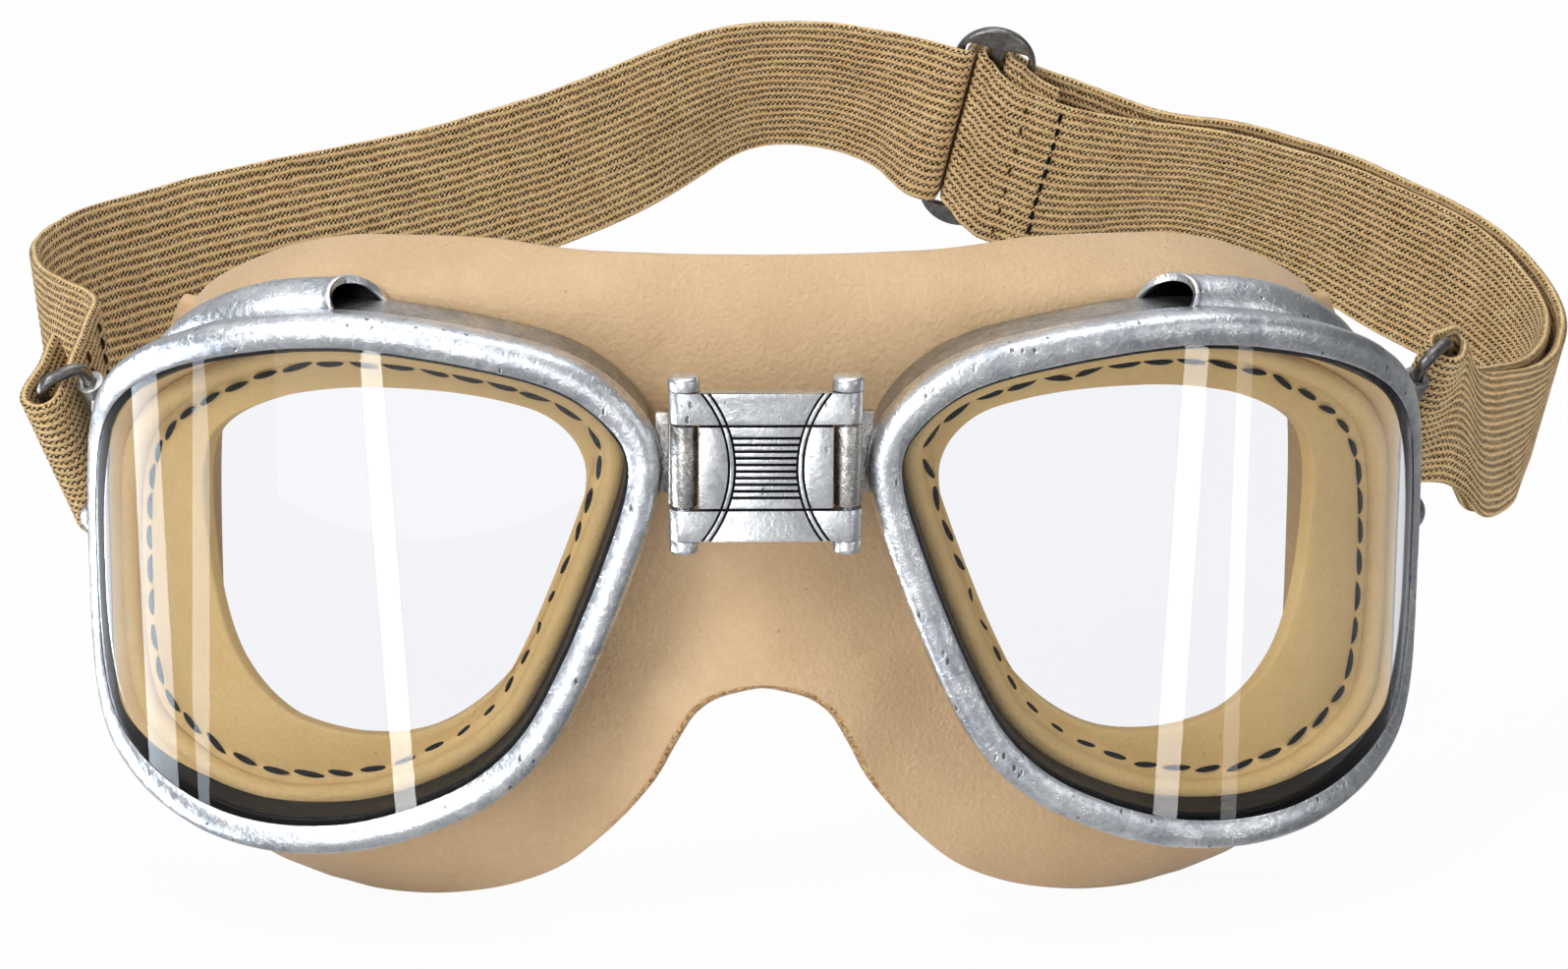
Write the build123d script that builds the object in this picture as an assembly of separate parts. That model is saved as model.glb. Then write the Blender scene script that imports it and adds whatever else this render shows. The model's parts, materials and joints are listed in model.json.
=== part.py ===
from build123d import *
import math
import os

# Flying goggles: two framed wrap-round lenses, hinged bridge, one leather mask, ribbed elastic strap.
# Lengths in mm. X runs across the face, the front faces -Y, Z is up.
# The origin is midway between the eye openings, at the height of the bridge.

os.makedirs("parts", exist_ok=True)

# Cup size, measured along the curve and up
cup_length = 86.5
cup_height = 68.4
cup_centre_share = 0.4855
cup_centre_along = cup_length * cup_centre_share

# Plan curve of a lens: a flat front arc, then a tight temple arc
lens_start = 11.3
lens_forward = 15.0
front_radius = 150.0
front_share = 0.5665
temple_turn = 1.136
front_length = cup_length * front_share
temple_radius = (cup_length - front_length) / temple_turn

# Heights from the cup's centre, and the stations of its loops
cup_centre_drop = 18.0
rim_stations = 44
mask_stations = 64

# Front rim
rim_wall = 0.8
rim_width = 3.9
rim_front = 1.6
rim_shoulder = 1.2
rim_back = 2.2
rim_bevel = 0.4

# Lens
lens_thickness = 1.8
lens_inset = 1.1
lens_stations = 34
lens_end_trim = 0.5
seat_clearance = 0.06

# Rear frame
frame_inset = 0.9
frame_wall = 0.9
frame_depth = 10.3
frame_flange = 0.8
frame_flange_width = 3.4

# Gasket, piping, eye panel
gasket_thickness = 1.8
gasket_depth = 5.5
gasket_clearance = 0.08
piping_radius = 1.75
piping_inset = 5.9
piping_depth = 7.6
piping_drop = 0.7
panel_depth = 8.9
panel_thickness = 1.2
panel_temple_rise = 2.2
panel_rise_from_share = 0.6705
panel_rise_over_share = 0.2775
panel_inset = 5.45
stitch_inset = 8.4
stitch_length = 3.2
stitch_gap = 0.7
stitch_radius = 0.33
stitch_lift = 0.38

# Mask and its lining
mask_thickness = 1.5
mask_behind_frame = 0.15
mask_flange_inset = 3.2
mask_shoulder_inset = 0.3
mask_bulge_share = 0.42
mask_edge_depth_unit = 10.0
nose_half_width = 7.1
nose_seam = 3.3
notch_arch_rise = 3.7
lining_thickness = 2.6
lining_clearance = 0.2
lining_edge_inset = 0.9
lining_eye_setback = 3
lining_temple_setback = 4.0
lining_setback_from_share = 0.6
lining_setback_over_share = 0.1

# Vent hood
vent_start_share = 0.4405
vent_mouth_lean = 2.2
vent_mouth_rake = 2.5
vent_end_share = 0.9
vent_height = 3.5
vent_slope_reach = 0.5
vent_tail_height = 0.9
vent_half_width = 3.5
vent_depth = 6.2
vent_wall = 0.7
vent_stations = 14
vent_arc_points = 6
vent_hole_radius = 1.1
vent_hole_pitch = 4.2
vent_hole_count = 4
vent_hole_first_share = 0.509

# Bridge and hinges
hinge_x = 9.6
hinge_forward = 17.2
pin_radius = 0.95
ear_radius = 1.8
ear_top = 9.05
ear_height = 3.75
plate_half_width = 7.86
plate_thickness = 1.6
plate_centre_half_height = 4.95
strip_groove_depth = 0.3
strip_groove_height = 0.35
groove_count = 10
groove_pitch = 0.81
groove_height = 0.36
groove_depth = 0.3
groove_half_length = 4.45
groove_waist = 0.8
arc_line_radius = 14.4
arc_line_width = 0.3
arc_line_gap = 0.7
arc_line_centre = 18.75
arc_lines = 2
knuckle_radius = 1.65
knuckle_half_height = 4.92
knuckle_arm_width = 1.8
knuckle_arm_depth = 6.2
knuckle_leaf_reach = 12.9
knuckle_leaf_thickness = 1.5
knuckle_leaf_back = 4.1
running_clearance = 0.05
pin_head_radius = 1.9
pin_head_height = 1.75
pin_foot_radius = 1.75
pin_foot_height = 1.8
pin_foot_bore_depth = 1.2
pin_head_edge = 0.35

# Temple lug, screw and nut, set back from the temple end of the cup
lug_sunk = 0.15
lug_thickness = 1.1
lug_behind = 0.31
lug_depth = 6.25
lug_bottom = -24.2
lug_waist = -13.2
lug_screw_behind = 2.96
lug_screw_z = -18.9
lug_barrel_radius = 1.75
lug_barrel_from = 3.5
lug_barrel_to = 10.5
screw_dome_radius = 2.6
screw_dome_height = 1.9
screw_shank_radius = 1.1
nut_radius = 2.3
nut_thickness = 1.4

# Strap rings: a rounded wire link that leans with the strap
ring_sunk = 1.15
ring_behind = 8.86
ring_height = -10.0
ring_lean_shares = (0.22, -0.53, 0.82)
ring_bar_length = 27.5
ring_width = 5.9
ring_wire_radius = 0.8
ring_corner = 2.2
ring_right_way_shares = (2.4, 5.0, -1.2)
ring_left_way_shares = (5.5, -2.1, -0.6)

# Strap
strap_width = 25.0
strap_thickness = 1.3
strap_span = 110.0
strap_roll_radius = 2.3
strap_layer_gap = 0.9
strap_slider_gap = 0.2
strap_front_drop = 3.9
strap_tail_drop = 2.6
strap_back_drop = 2.9
strap_right_lead = (3.9, 5.5, -5.86)
strap_left_lead = (3.34, 14.8, 6.7)

# Slider: a flat plate with a bar between two slots
slider_length = 32.5
slider_width = 11.4
slider_thickness = 1.2
slider_outer_bar = 1.3
slider_centre_bar = 2
slider_slot_length = 26.6
slider_slot_corner = 0.7
slider_edge = 0.3

cut_overrun = 2.0

# Outlines: places along the curve as shares of cup_length, heights as shares of cup_height
rim_outline_shares = [
    (0.009, -0.015), (0.018, 0.041), (0.035, 0.077), (0.065, 0.120), (0.113, 0.164),
    (0.173, 0.194), (0.237, 0.212), (0.301, 0.225), (0.370, 0.235), (0.439, 0.240),
    (0.509, 0.235), (0.578, 0.222), (0.647, 0.200), (0.717, 0.168), (0.786, 0.126),
    (0.855, 0.070), (0.918, -0.003), (0.966, -0.095), (0.994, -0.212), (1.000, -0.336),
    (0.990, -0.456), (0.955, -0.561), (0.902, -0.632), (0.832, -0.677), (0.763, -0.711),
    (0.694, -0.737), (0.624, -0.754), (0.555, -0.760), (0.486, -0.754), (0.416, -0.737),
    (0.341, -0.703), (0.260, -0.651), (0.200, -0.589), (0.154, -0.515), (0.109, -0.404),
    (0.071, -0.287), (0.040, -0.180), (0.017, -0.088),
]
eye_outline_shares = [
    (0.121, -0.083), (0.126, -0.034), (0.147, 0.007), (0.185, 0.041), (0.243, 0.061),
    (0.318, 0.073), (0.393, 0.076), (0.467, 0.072), (0.543, 0.057), (0.618, 0.032),
    (0.689, -0.004), (0.731, -0.050), (0.746, -0.124), (0.742, -0.227), (0.725, -0.336),
    (0.692, -0.431), (0.639, -0.500), (0.570, -0.548), (0.497, -0.569), (0.430, -0.570),
    (0.364, -0.554), (0.304, -0.515), (0.247, -0.453), (0.202, -0.376), (0.164, -0.285),
    (0.136, -0.183),
]
# The mask's free edge; the third share is its depth behind the frame, of mask_edge_depth_unit
mask_edge_shares = [
    (-0.038, -0.146, -0.260), (-0.038, 0.058, -0.240), (-0.038, 0.219, -0.100), (-0.038, 0.317, 0.350),
    (0.058, 0.319, 0.400), (0.127, 0.319, 0.500), (0.197, 0.323, 0.600), (0.266, 0.329, 0.700),
    (0.347, 0.327, 0.800), (0.428, 0.321, 0.900), (0.509, 0.314, 0.950), (0.578, 0.301, 0.950),
    (0.649, 0.291, 0.930), (0.747, 0.272, 0.850), (0.859, 0.236, 0.620), (0.950, 0.190, 0.350),
    (1.030, 0.125, 0.120), (1.090, 0.040, -0.040), (1.130, -0.070, -0.120), (1.155, -0.200, -0.170),
    (1.165, -0.360, -0.180), (1.155, -0.500, -0.150), (1.120, -0.630, -0.060), (1.060, -0.735, 0.100),
    (0.980, -0.818, 0.320), (0.885, -0.871, 0.570), (0.790, -0.898, 0.770), (0.675, -0.909, 0.850),
    (0.561, -0.924, 0.900), (0.479, -0.933, 0.850), (0.383, -0.926, 0.750), (0.289, -0.899, 0.550),
    (0.214, -0.862, 0.350), (0.156, -0.817, 0.150), (0.105, -0.758, -0.020), (0.062, -0.695, -0.200),
    (0.023, -0.626, -0.360), (-0.004, -0.554, -0.520), (-0.038, -0.499, -0.660),
]
# The strap's middle line and its width direction, as shares of strap_span, from the right ring to the slider
strap_right_route_shares = [
    (0.802, 0.356, -0.129, -0.12, -0.43, 0.89), (0.849, 0.398, -0.142, -0.12, -0.39, 0.91),
    (0.893, 0.462, -0.157, -0.09, -0.46, 0.88), (0.921, 0.523, -0.164, -0.02, -0.52, 0.85),
    (0.950, 0.598, -0.163, 0.04, -0.57, 0.82), (0.971, 0.665, -0.153, 0.05, -0.58, 0.81),
    (0.975, 0.716, -0.141, 0.06, -0.55, 0.83), (0.961, 0.764, -0.122, 0.07, -0.50, 0.86),
    (0.936, 0.796, -0.101, 0.08, -0.43, 0.90), (0.905, 0.826, -0.082, 0.09, -0.40, 0.91),
    (0.855, 0.862, -0.060, 0.08, -0.39, 0.92), (0.796, 0.893, -0.035, 0.06, -0.42, 0.91),
    (0.737, 0.926, -0.011, 0.06, -0.50, 0.86), (0.674, 0.952, 0.008, 0.07, -0.56, 0.82),
    (0.590, 0.975, 0.026, 0.10, -0.58, 0.80), (0.518, 0.986, 0.030, 0.14, -0.54, 0.82),
    (0.445, 0.990, 0.055, 0.17, -0.46, 0.86),
]
# From the slider to the fold beside the left ring
strap_left_route_shares = [
    (0.183, 1.016, 0.125, 0.01, -0.46, 0.88), (0.126, 1.029, 0.139, -0.04, -0.53, 0.84),
    (0.061, 1.034, 0.144, -0.03, -0.57, 0.82), (-0.006, 1.024, 0.137, -0.04, -0.53, 0.84),
    (-0.055, 1.008, 0.120, -0.06, -0.44, 0.90), (-0.096, 0.995, 0.102, -0.08, -0.38, 0.92),
    (-0.138, 0.983, 0.085, -0.07, -0.34, 0.94), (-0.184, 0.970, 0.068, -0.06, -0.32, 0.95),
    (-0.240, 0.953, 0.050, -0.05, -0.31, 0.95), (-0.291, 0.936, 0.038, -0.04, -0.31, 0.95),
    (-0.353, 0.915, 0.024, -0.04, -0.30, 0.95), (-0.415, 0.890, 0.012, -0.03, -0.27, 0.96),
    (-0.475, 0.861, 0.003, -0.03, -0.22, 0.97), (-0.537, 0.828, -0.004, -0.03, -0.17, 0.98),
    (-0.598, 0.793, -0.010, -0.03, -0.12, 0.99), (-0.657, 0.756, -0.016, -0.03, -0.09, 0.99),
    (-0.713, 0.716, -0.023, -0.04, -0.08, 0.99), (-0.765, 0.669, -0.028, -0.06, -0.09, 0.99),
    (-0.805, 0.622, -0.033, -0.08, -0.13, 0.98), (-0.829, 0.573, -0.038, -0.08, -0.22, 0.97),
    (-0.832, 0.527, -0.042, -0.06, -0.32, 0.94), (-0.815, 0.478, -0.042, -0.04, -0.40, 0.91),
    (-0.783, 0.430, -0.043, -0.03, -0.43, 0.90), (-0.750, 0.392, -0.050, -0.05, -0.46, 0.88),
]
strap_seam_stations = 6
strap_left_seam_stations = 18
slider_place_shares = (0.300, 0.976, 0.100)
slider_along_shares = (0.96, -0.04, -0.28)
slider_up_shares = (0.19, -0.33, 0.925)


def unit(v):
    return Vector(*v).normalized()


def plan_point(along, out=0.0):
    """A point of the plan curve, moved out by its normal; returns x and y."""
    front_turn = front_length / front_radius
    if along <= front_length:
        turn = along / front_radius
        x = lens_start + front_radius * math.sin(turn)
        y = -lens_forward + front_radius * (1 - math.cos(turn))
    else:
        x = lens_start + front_radius * math.sin(front_turn)
        y = -lens_forward + front_radius * (1 - math.cos(front_turn))
        turn = front_turn + (along - front_length) / temple_radius
        x += temple_radius * (math.sin(turn) - math.sin(front_turn))
        y += temple_radius * (math.cos(front_turn) - math.cos(turn))
    return x + out * math.sin(turn), y - out * math.cos(turn)


def wrap(along, up, out):
    x, y = plan_point(along, out)
    return (x, y, up)


def smooth_loop(points, steps=8):
    """A dense closed line through the points."""
    dense = []
    n = len(points)
    for i in range(n):
        p0, p1, p2, p3 = (points[(i + k - 1) % n] for k in range(4))
        for j in range(steps):
            t = j / steps
            dense.append(tuple(
                0.5 * (2 * b + (c - a) * t + (2 * a - 5 * b + 4 * c - d) * t * t
                       + (3 * b - a - 3 * c + d) * t ** 3)
                for a, b, c, d in zip(p0, p1, p2, p3)
            ))
    return dense


def turn_of(point):
    """A point's angle round the cup's centre."""
    return math.atan2(point[1] + cup_centre_drop, point[0] - cup_centre_along) % (2 * math.pi)


def even_turns(count, corners=()):
    """Even angles, the nearest one moved onto each corner."""
    turns = [2 * math.pi * k / count for k in range(count)]
    for corner in corners:
        nearest = min(range(count), key=lambda k: abs(turns[k] - turn_of(corner)))
        turns[nearest] = turn_of(corner)
    return turns


def by_angle(loop, turns):
    """The loop's points at the given angles round the cup's centre, all their values kept."""
    found = []
    n = len(loop)
    for angle in turns:
        dx, dz = math.cos(angle), math.sin(angle)
        best = None
        for i in range(n):
            a, b = loop[i], loop[(i + 1) % n]
            ax, az = a[0] - cup_centre_along, a[1] + cup_centre_drop
            bx, bz = b[0] - cup_centre_along, b[1] + cup_centre_drop
            ca, cb = dx * az - dz * ax, dx * bz - dz * bx
            if ca <= 0 < cb or cb <= 0 < ca:
                t = ca / (ca - cb)
                reach = dx * (ax + (bx - ax) * t) + dz * (az + (bz - az) * t)
                if reach > 0 and (best is None or reach > best[0]):
                    best = (reach, tuple(u + (v - u) * t for u, v in zip(a, b)))
        found.append(best[1])
    return found


def inset(loop, amount):
    """The loop moved inwards along its own normals."""
    n = len(loop)
    moved = []
    for k in range(n):
        a, b = loop[k - 1], loop[(k + 1) % n]
        tx, tz = b[0] - a[0], b[1] - a[1]
        length = math.hypot(tx, tz)
        place = (loop[k][0] - amount * tz / length, loop[k][1] + amount * tx / length)
        moved.append(place + tuple(loop[k][2:]))
    return moved


def mix(a, b, share):
    return [tuple(u + (v - u) * share for u, v in zip(p, q)) for p, q in zip(a, b)]


def skin(stations, closed=False):
    """A solid whose long faces run from station to station; each station is a loop of points."""
    count = len(stations[0])
    marks = [0.0]
    steps = list(zip(stations, stations[1:] + stations[:1])) if closed else list(zip(stations, stations[1:]))
    for a, b in steps:
        marks.append(marks[-1] + sum(math.dist(a[k], b[k]) for k in range(count)) / count)
    rows = [
        Edge.make_spline([Vector(*station[k]) for station in stations], periodic=closed, parameters=marks)
        for k in range(count)
    ]
    faces = [Face.make_surface_from_curves(rows[k], rows[(k + 1) % count]) for k in range(count)]
    if not closed:
        for end in (stations[0], stations[-1]):
            for k in range(count // 2 - 1):
                near = Edge.make_line(Vector(*end[k]), Vector(*end[k + 1]))
                far = Edge.make_line(Vector(*end[count - 1 - k]), Vector(*end[count - 2 - k]))
                faces.append(Face.make_surface_from_curves(near, far))
    return Solid(Shell(faces))


def ring_skin(loops):
    """A closed ring from loops of wrapped points, one loop for each corner of its section."""
    return skin([[loop[k] for loop in loops] for k in range(len(loops[0]))], closed=True)


def wrapped(loop, out):
    return [wrap(p[0], p[1], out) for p in loop]


rim_loop = by_angle(
    smooth_loop([(a * cup_length, b * cup_height) for a, b in rim_outline_shares]), even_turns(rim_stations)
)
eye_loop = by_angle(
    smooth_loop([(a * cup_length, b * cup_height) for a, b in eye_outline_shares]), even_turns(rim_stations)
)

parts = {}


def both(name, shape):
    """Keeps the right-hand piece and its mirrored left-hand twin."""
    parts[name + "_right"] = shape
    parts[name + "_left"] = mirror(shape, Plane.YZ)


# Front rim: an L section with a rounded front
lens_front = lens_thickness / 2 + seat_clearance
rim_section = [
    (0.0, -rim_back), (0.0, rim_bevel), (rim_wall / 2, rim_shoulder), (rim_shoulder, rim_front),
    (rim_width - rim_shoulder, rim_front - rim_bevel / 4), (rim_width - rim_bevel, rim_shoulder),
    (rim_width, lens_front), (rim_wall, lens_front), (rim_wall, -rim_back),
]
both("rim", ring_skin([wrapped(inset(rim_loop, i), n) for i, n in rim_section]))

# Rear frame: a wall behind the rim with an inward flange at its back
frame_front = -lens_thickness / 2 - seat_clearance
frame_section = [
    (frame_inset, frame_front), (frame_inset + frame_wall, frame_front),
    (frame_inset + frame_wall, frame_flange - frame_depth),
    (frame_inset + frame_wall + frame_flange_width, frame_flange - frame_depth),
    (frame_inset + frame_wall + frame_flange_width, -frame_depth), (frame_inset, -frame_depth),
]
frame = ring_skin([wrapped(inset(rim_loop, i), n) for i, n in frame_section])
for k in range(vent_hole_count):
    along = cup_length * vent_hole_first_share + k * vent_hole_pitch
    x, y = plan_point(along, -vent_depth)
    top = max(p[1] for p in rim_loop)
    frame -= Pos(x, y, top) * Cylinder(vent_hole_radius, 2 * (vent_height + frame_inset + frame_wall))
both("frame", frame)

# Lens: a curved sheet with straight short ends
lens_outline = inset(rim_loop, lens_inset)
dense = smooth_loop(lens_outline)


def heights_at(along):
    crossings = []
    for i in range(len(dense)):
        a, b = dense[i], dense[(i + 1) % len(dense)]
        if (a[0] - along) * (b[0] - along) <= 0 and a[0] != b[0]:
            crossings.append(a[1] + (b[1] - a[1]) * (along - a[0]) / (b[0] - a[0]))
    return min(crossings), max(crossings)


lens_low = min(p[0] for p in dense) + lens_end_trim
lens_high = max(p[0] for p in dense) - lens_end_trim
lens_rows = []
for k in range(lens_stations):
    share = (1 - math.cos(math.pi * k / (lens_stations - 1))) / 2
    along = lens_low + (lens_high - lens_low) * share
    low, high = heights_at(along)
    front, back = lens_thickness / 2, -lens_thickness / 2
    lens_rows.append([
        wrap(along, low, front), wrap(along, high, front), wrap(along, high, back), wrap(along, low, back)])
both("lens", skin(lens_rows))

# Gasket: a black rubber liner behind the lens
gasket_outer = frame_inset + frame_wall + gasket_clearance
gasket_section = [
    (gasket_outer, frame_front - gasket_clearance),
    (gasket_outer + gasket_thickness, frame_front - gasket_clearance),
    (gasket_outer + gasket_thickness, -gasket_depth), (gasket_outer, -gasket_depth),
]
both("gasket", ring_skin([wrapped(inset(rim_loop, i), n) for i, n in gasket_section]))


def panel_out(along):
    """How far behind the lens the eye panel lies; it comes forward round the temple."""
    t = min(max((along / cup_length - panel_rise_from_share) / panel_rise_over_share, 0.0), 1.0)
    return -panel_depth + panel_temple_rise * t * t * (3 - 2 * t)


def lowered(loop, drop):
    return [(p[0], p[1] - drop) for p in loop]


def panelled(loop, out):
    return [wrap(p[0], p[1], panel_out(p[0]) + out) for p in loop]


# Piping: a rolled leather bead round the eye panel
piping_sides = 8
bead_loops = []
for k in range(piping_sides):
    angle = 2 * math.pi * k / piping_sides
    loop = lowered(inset(rim_loop, piping_inset + piping_radius * math.cos(angle)), piping_drop)
    bead_loops.append(panelled(loop, panel_depth - piping_depth + piping_radius * math.sin(angle)))
both("piping", ring_skin(bead_loops))

# Eye panel: flat leather round the eye opening
panel_edge = inset(rim_loop, panel_inset)
panel_mid = mix(panel_edge, eye_loop, 0.5)
panel_top = -(piping_radius - (panel_depth - piping_depth)) - lining_clearance
panel_bottom = panel_top - panel_thickness
both("eye_panel", ring_skin([
    panelled(panel_edge, panel_top), panelled(panel_mid, panel_top), panelled(eye_loop, panel_top),
    panelled(eye_loop, panel_bottom), panelled(panel_mid, panel_bottom), panelled(panel_edge, panel_bottom),
]))

# Stitching round the eye panel
stitch_loop = smooth_loop(lowered(inset(rim_loop, stitch_inset), piping_drop))
stitch_path = panelled(stitch_loop, panel_top + stitch_lift)


def stitches_along(path, closed=True):
    """Short threads laid end to end along a line of points."""
    lengths = [0.0]
    count = len(path) if closed else len(path) - 1
    for i in range(count):
        lengths.append(lengths[-1] + (Vector(*path[(i + 1) % len(path)]) - Vector(*path[i])).length)
    total = lengths[-1]

    def at(distance):
        for i in range(count):
            if distance <= lengths[i + 1]:
                t = (distance - lengths[i]) / (lengths[i + 1] - lengths[i])
                a, b = Vector(*path[i]), Vector(*path[(i + 1) % len(path)])
                return a + (b - a) * t
        return Vector(*path[0 if closed else -1])

    number = int(total / (stitch_length + stitch_gap))
    threads = []
    for i in range(number):
        start = at(i * total / number)
        end = at(i * total / number + stitch_length)
        way = end - start
        threads.append(Solid.make_cylinder(stitch_radius, way.length, Plane(start, z_dir=way)))
    return threads


both("stitching", Compound(stitches_along(stitch_path)))

# Mask: leather that spreads from the back of each frame to the face
mask_front = -frame_depth - mask_behind_frame
edge_points = [(a * cup_length, b * cup_height, c * mask_edge_depth_unit) for a, b, c in mask_edge_shares]
mask_turns = even_turns(mask_stations, (edge_points[3], edge_points[-1]))
edge_loop = by_angle(edge_points, mask_turns)
rim_places = [(a * cup_length, b * cup_height) for a, b in rim_outline_shares]
eye_places = [(a * cup_length, b * cup_height) for a, b in eye_outline_shares]
mask_rim = by_angle(smooth_loop(rim_places), mask_turns)
mask_eye = by_angle(smooth_loop(eye_places), mask_turns)


def mask_row(loop, share, back):
    """The leather's surface between its shoulder at the frame and its free edge."""
    row = []
    for p, q in zip(loop, edge_loop):
        depth = q[2] * share ** 1.6
        along, up = p[0] + (q[0] - p[0]) * share, p[1] + (q[1] - p[1]) * share
        row.append(wrap(along, up, mask_front - depth - back))
    return row


shoulder = inset(mask_rim, mask_shoulder_inset)
flange = inset(mask_rim, mask_flange_inset)
mask_shares = (0.0, mask_bulge_share, 0.78, 1.0)
mask_loops = [wrapped(flange, mask_front)]
mask_loops += [mask_row(shoulder, s, 0.0) for s in mask_shares]
mask_loops += [mask_row(shoulder, s, mask_thickness) for s in reversed(mask_shares)]
mask_loops += [wrapped(flange, mask_front - mask_thickness)]
both("mask", ring_skin(mask_loops))

# Lining: the face pad behind the leather, from the eye opening to just inside the free edge
lining_back = mask_thickness + lining_clearance * 1.6
lining_shoulder = inset(mask_rim, lining_edge_inset)
lining_mid_share = 0.86
lining_eye_front = panel_bottom - lining_clearance


def lining_row(share, back):
    return mask_row(lining_shoulder, share, back)


def set_back(p):
    """A place on the lining's eye opening, moved towards the temple where it is near it."""
    share = (p[0] / cup_length - lining_setback_from_share) / lining_setback_over_share
    share = min(max(share, 0.0), 1.0)
    return (p[0] + lining_temple_setback * share * share * (3 - 2 * share), p[1])


lining_hole = [set_back(p) for p in inset(mask_eye, -lining_eye_setback)]


def lining_eye(back):
    return [wrap(p[0], p[1], panel_out(p[0]) + lining_eye_front - back) for p in lining_hole]


both("lining", ring_skin([
    lining_eye(0.0), wrapped(flange, mask_front - lining_back), lining_row(0.0, lining_back),
    lining_row(mask_bulge_share, lining_back), lining_row(lining_mid_share, lining_back),
    lining_row(lining_mid_share, lining_back + lining_thickness / 2),
    lining_row(mask_bulge_share, lining_back + lining_thickness),
    wrapped(flange, mask_front - lining_back - lining_thickness), lining_eye(lining_thickness),
]))

# Nose piece: the middle of the mask, flared forward over the notch
seam_rows = sorted({(b, c) for a, b, c in mask_edge_shares if a == mask_edge_shares[0][0]})
nose_front = [(-lens_forward - mask_front + c * mask_edge_depth_unit, b * cup_height) for b, c in seam_rows]


def nose_sheet(front_points, back_points):
    front_line = Edge.make_spline([Vector(0, y, z) for y, z in front_points])
    back_line = Edge.make_spline([Vector(0, y, z) for y, z in back_points])
    foot = Edge.make_line(front_line @ 0, back_line @ 0)
    head = Edge.make_line(front_line @ 1, back_line @ 1)
    section = Face(Wire([front_line, head, back_line, foot]))
    return Pos(-nose_half_width, 0, 0) * extrude(section, 2 * nose_half_width, dir=(1, 0, 0))


nose_back = [(y + mask_thickness, z) for y, z in nose_front]
notch_radius = (nose_half_width ** 2 + notch_arch_rise ** 2) / (2 * notch_arch_rise)
notch_y, notch_z = nose_front[0]
notch_cut = Pos(0, notch_y, notch_z + notch_arch_rise - notch_radius) * Cylinder(
    notch_radius, 2 * panel_depth, rotation=(90, 0, 0))
parts["mask_nose"] = nose_sheet(nose_front, nose_back) - notch_cut
pad_front = [(y + lining_back, z) for y, z in nose_front[1:]]
pad_back = [(y + lining_back + lining_thickness / 2, z) for y, z in nose_front[1:]]
parts["lining_nose"] = nose_sheet(pad_front, pad_back)

# Vent hood: a tapering half-tube on the frame's top wall, its mouth raked towards the nose
frame_top = inset(rim_loop, frame_inset)
dense_top = smooth_loop(frame_top)


def frame_height(along):
    crossings = [
        a[1] + (b[1] - a[1]) * (along - a[0]) / (b[0] - a[0])
        for a, b in zip(dense_top, dense_top[1:] + dense_top[:1])
        if (a[0] - along) * (b[0] - along) <= 0 and a[0] != b[0]
    ]
    return max(crossings)


def above_frame(along, rise):
    """The place that far off the frame's top, square to it."""
    slope = frame_height(along + vent_slope_reach) - frame_height(along - vent_slope_reach)
    slope /= 2 * vent_slope_reach
    up = rise / math.sqrt(1 + slope ** 2)
    return along - slope * up, frame_height(along) + up


vent_rows = []
for k in range(vent_stations):
    share = k / (vent_stations - 1)
    row_outer, row_inner = [], []
    for j in range(vent_arc_points + 1):
        angle = math.pi * j / vent_arc_points
        lift = math.sin(angle)
        side = math.cos(angle)
        start = cup_length * vent_start_share + vent_mouth_rake * lift + vent_mouth_lean * side
        along = start + (cup_length * vent_end_share - start) * share
        height = vent_height + (vent_tail_height - vent_height) * share ** 4
        half = vent_half_width * (1 - share ** 3 / 3)
        outer_rise = seat_clearance + height * lift
        inner_rise = seat_clearance + (height - vent_wall * (1 - share / 2)) * lift
        row_outer.append(wrap(*above_frame(along, outer_rise), -vent_depth + half * side))
        row_inner.append(wrap(*above_frame(along, inner_rise), -vent_depth + (half - vent_wall) * side))
    vent_rows.append(row_outer + row_inner[::-1])
both("vent", skin(vent_rows))

# Hinge knuckle: a barrel on the pin, an arm round the rim and a leaf on the frame
hinge_y = -hinge_forward
knuckle_height = 2 * knuckle_half_height
knuckle = Pos(hinge_x, hinge_y, 0) * Cylinder(knuckle_radius, knuckle_height)
knuckle += Pos(hinge_x + knuckle_arm_width / 2, hinge_y + knuckle_arm_depth / 2, 0) * Box(
    knuckle_arm_width, knuckle_arm_depth, knuckle_height)
leaf_length = knuckle_leaf_reach - hinge_x
knuckle += Pos(hinge_x + leaf_length / 2, hinge_y + knuckle_arm_depth - knuckle_leaf_thickness / 2, 0) * Box(
    leaf_length, knuckle_leaf_thickness, knuckle_height)
knuckle -= Pos(hinge_x, hinge_y, 0) * Cylinder(pin_radius + running_clearance, knuckle_height + cut_overrun)
both("knuckle", knuckle)

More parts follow.
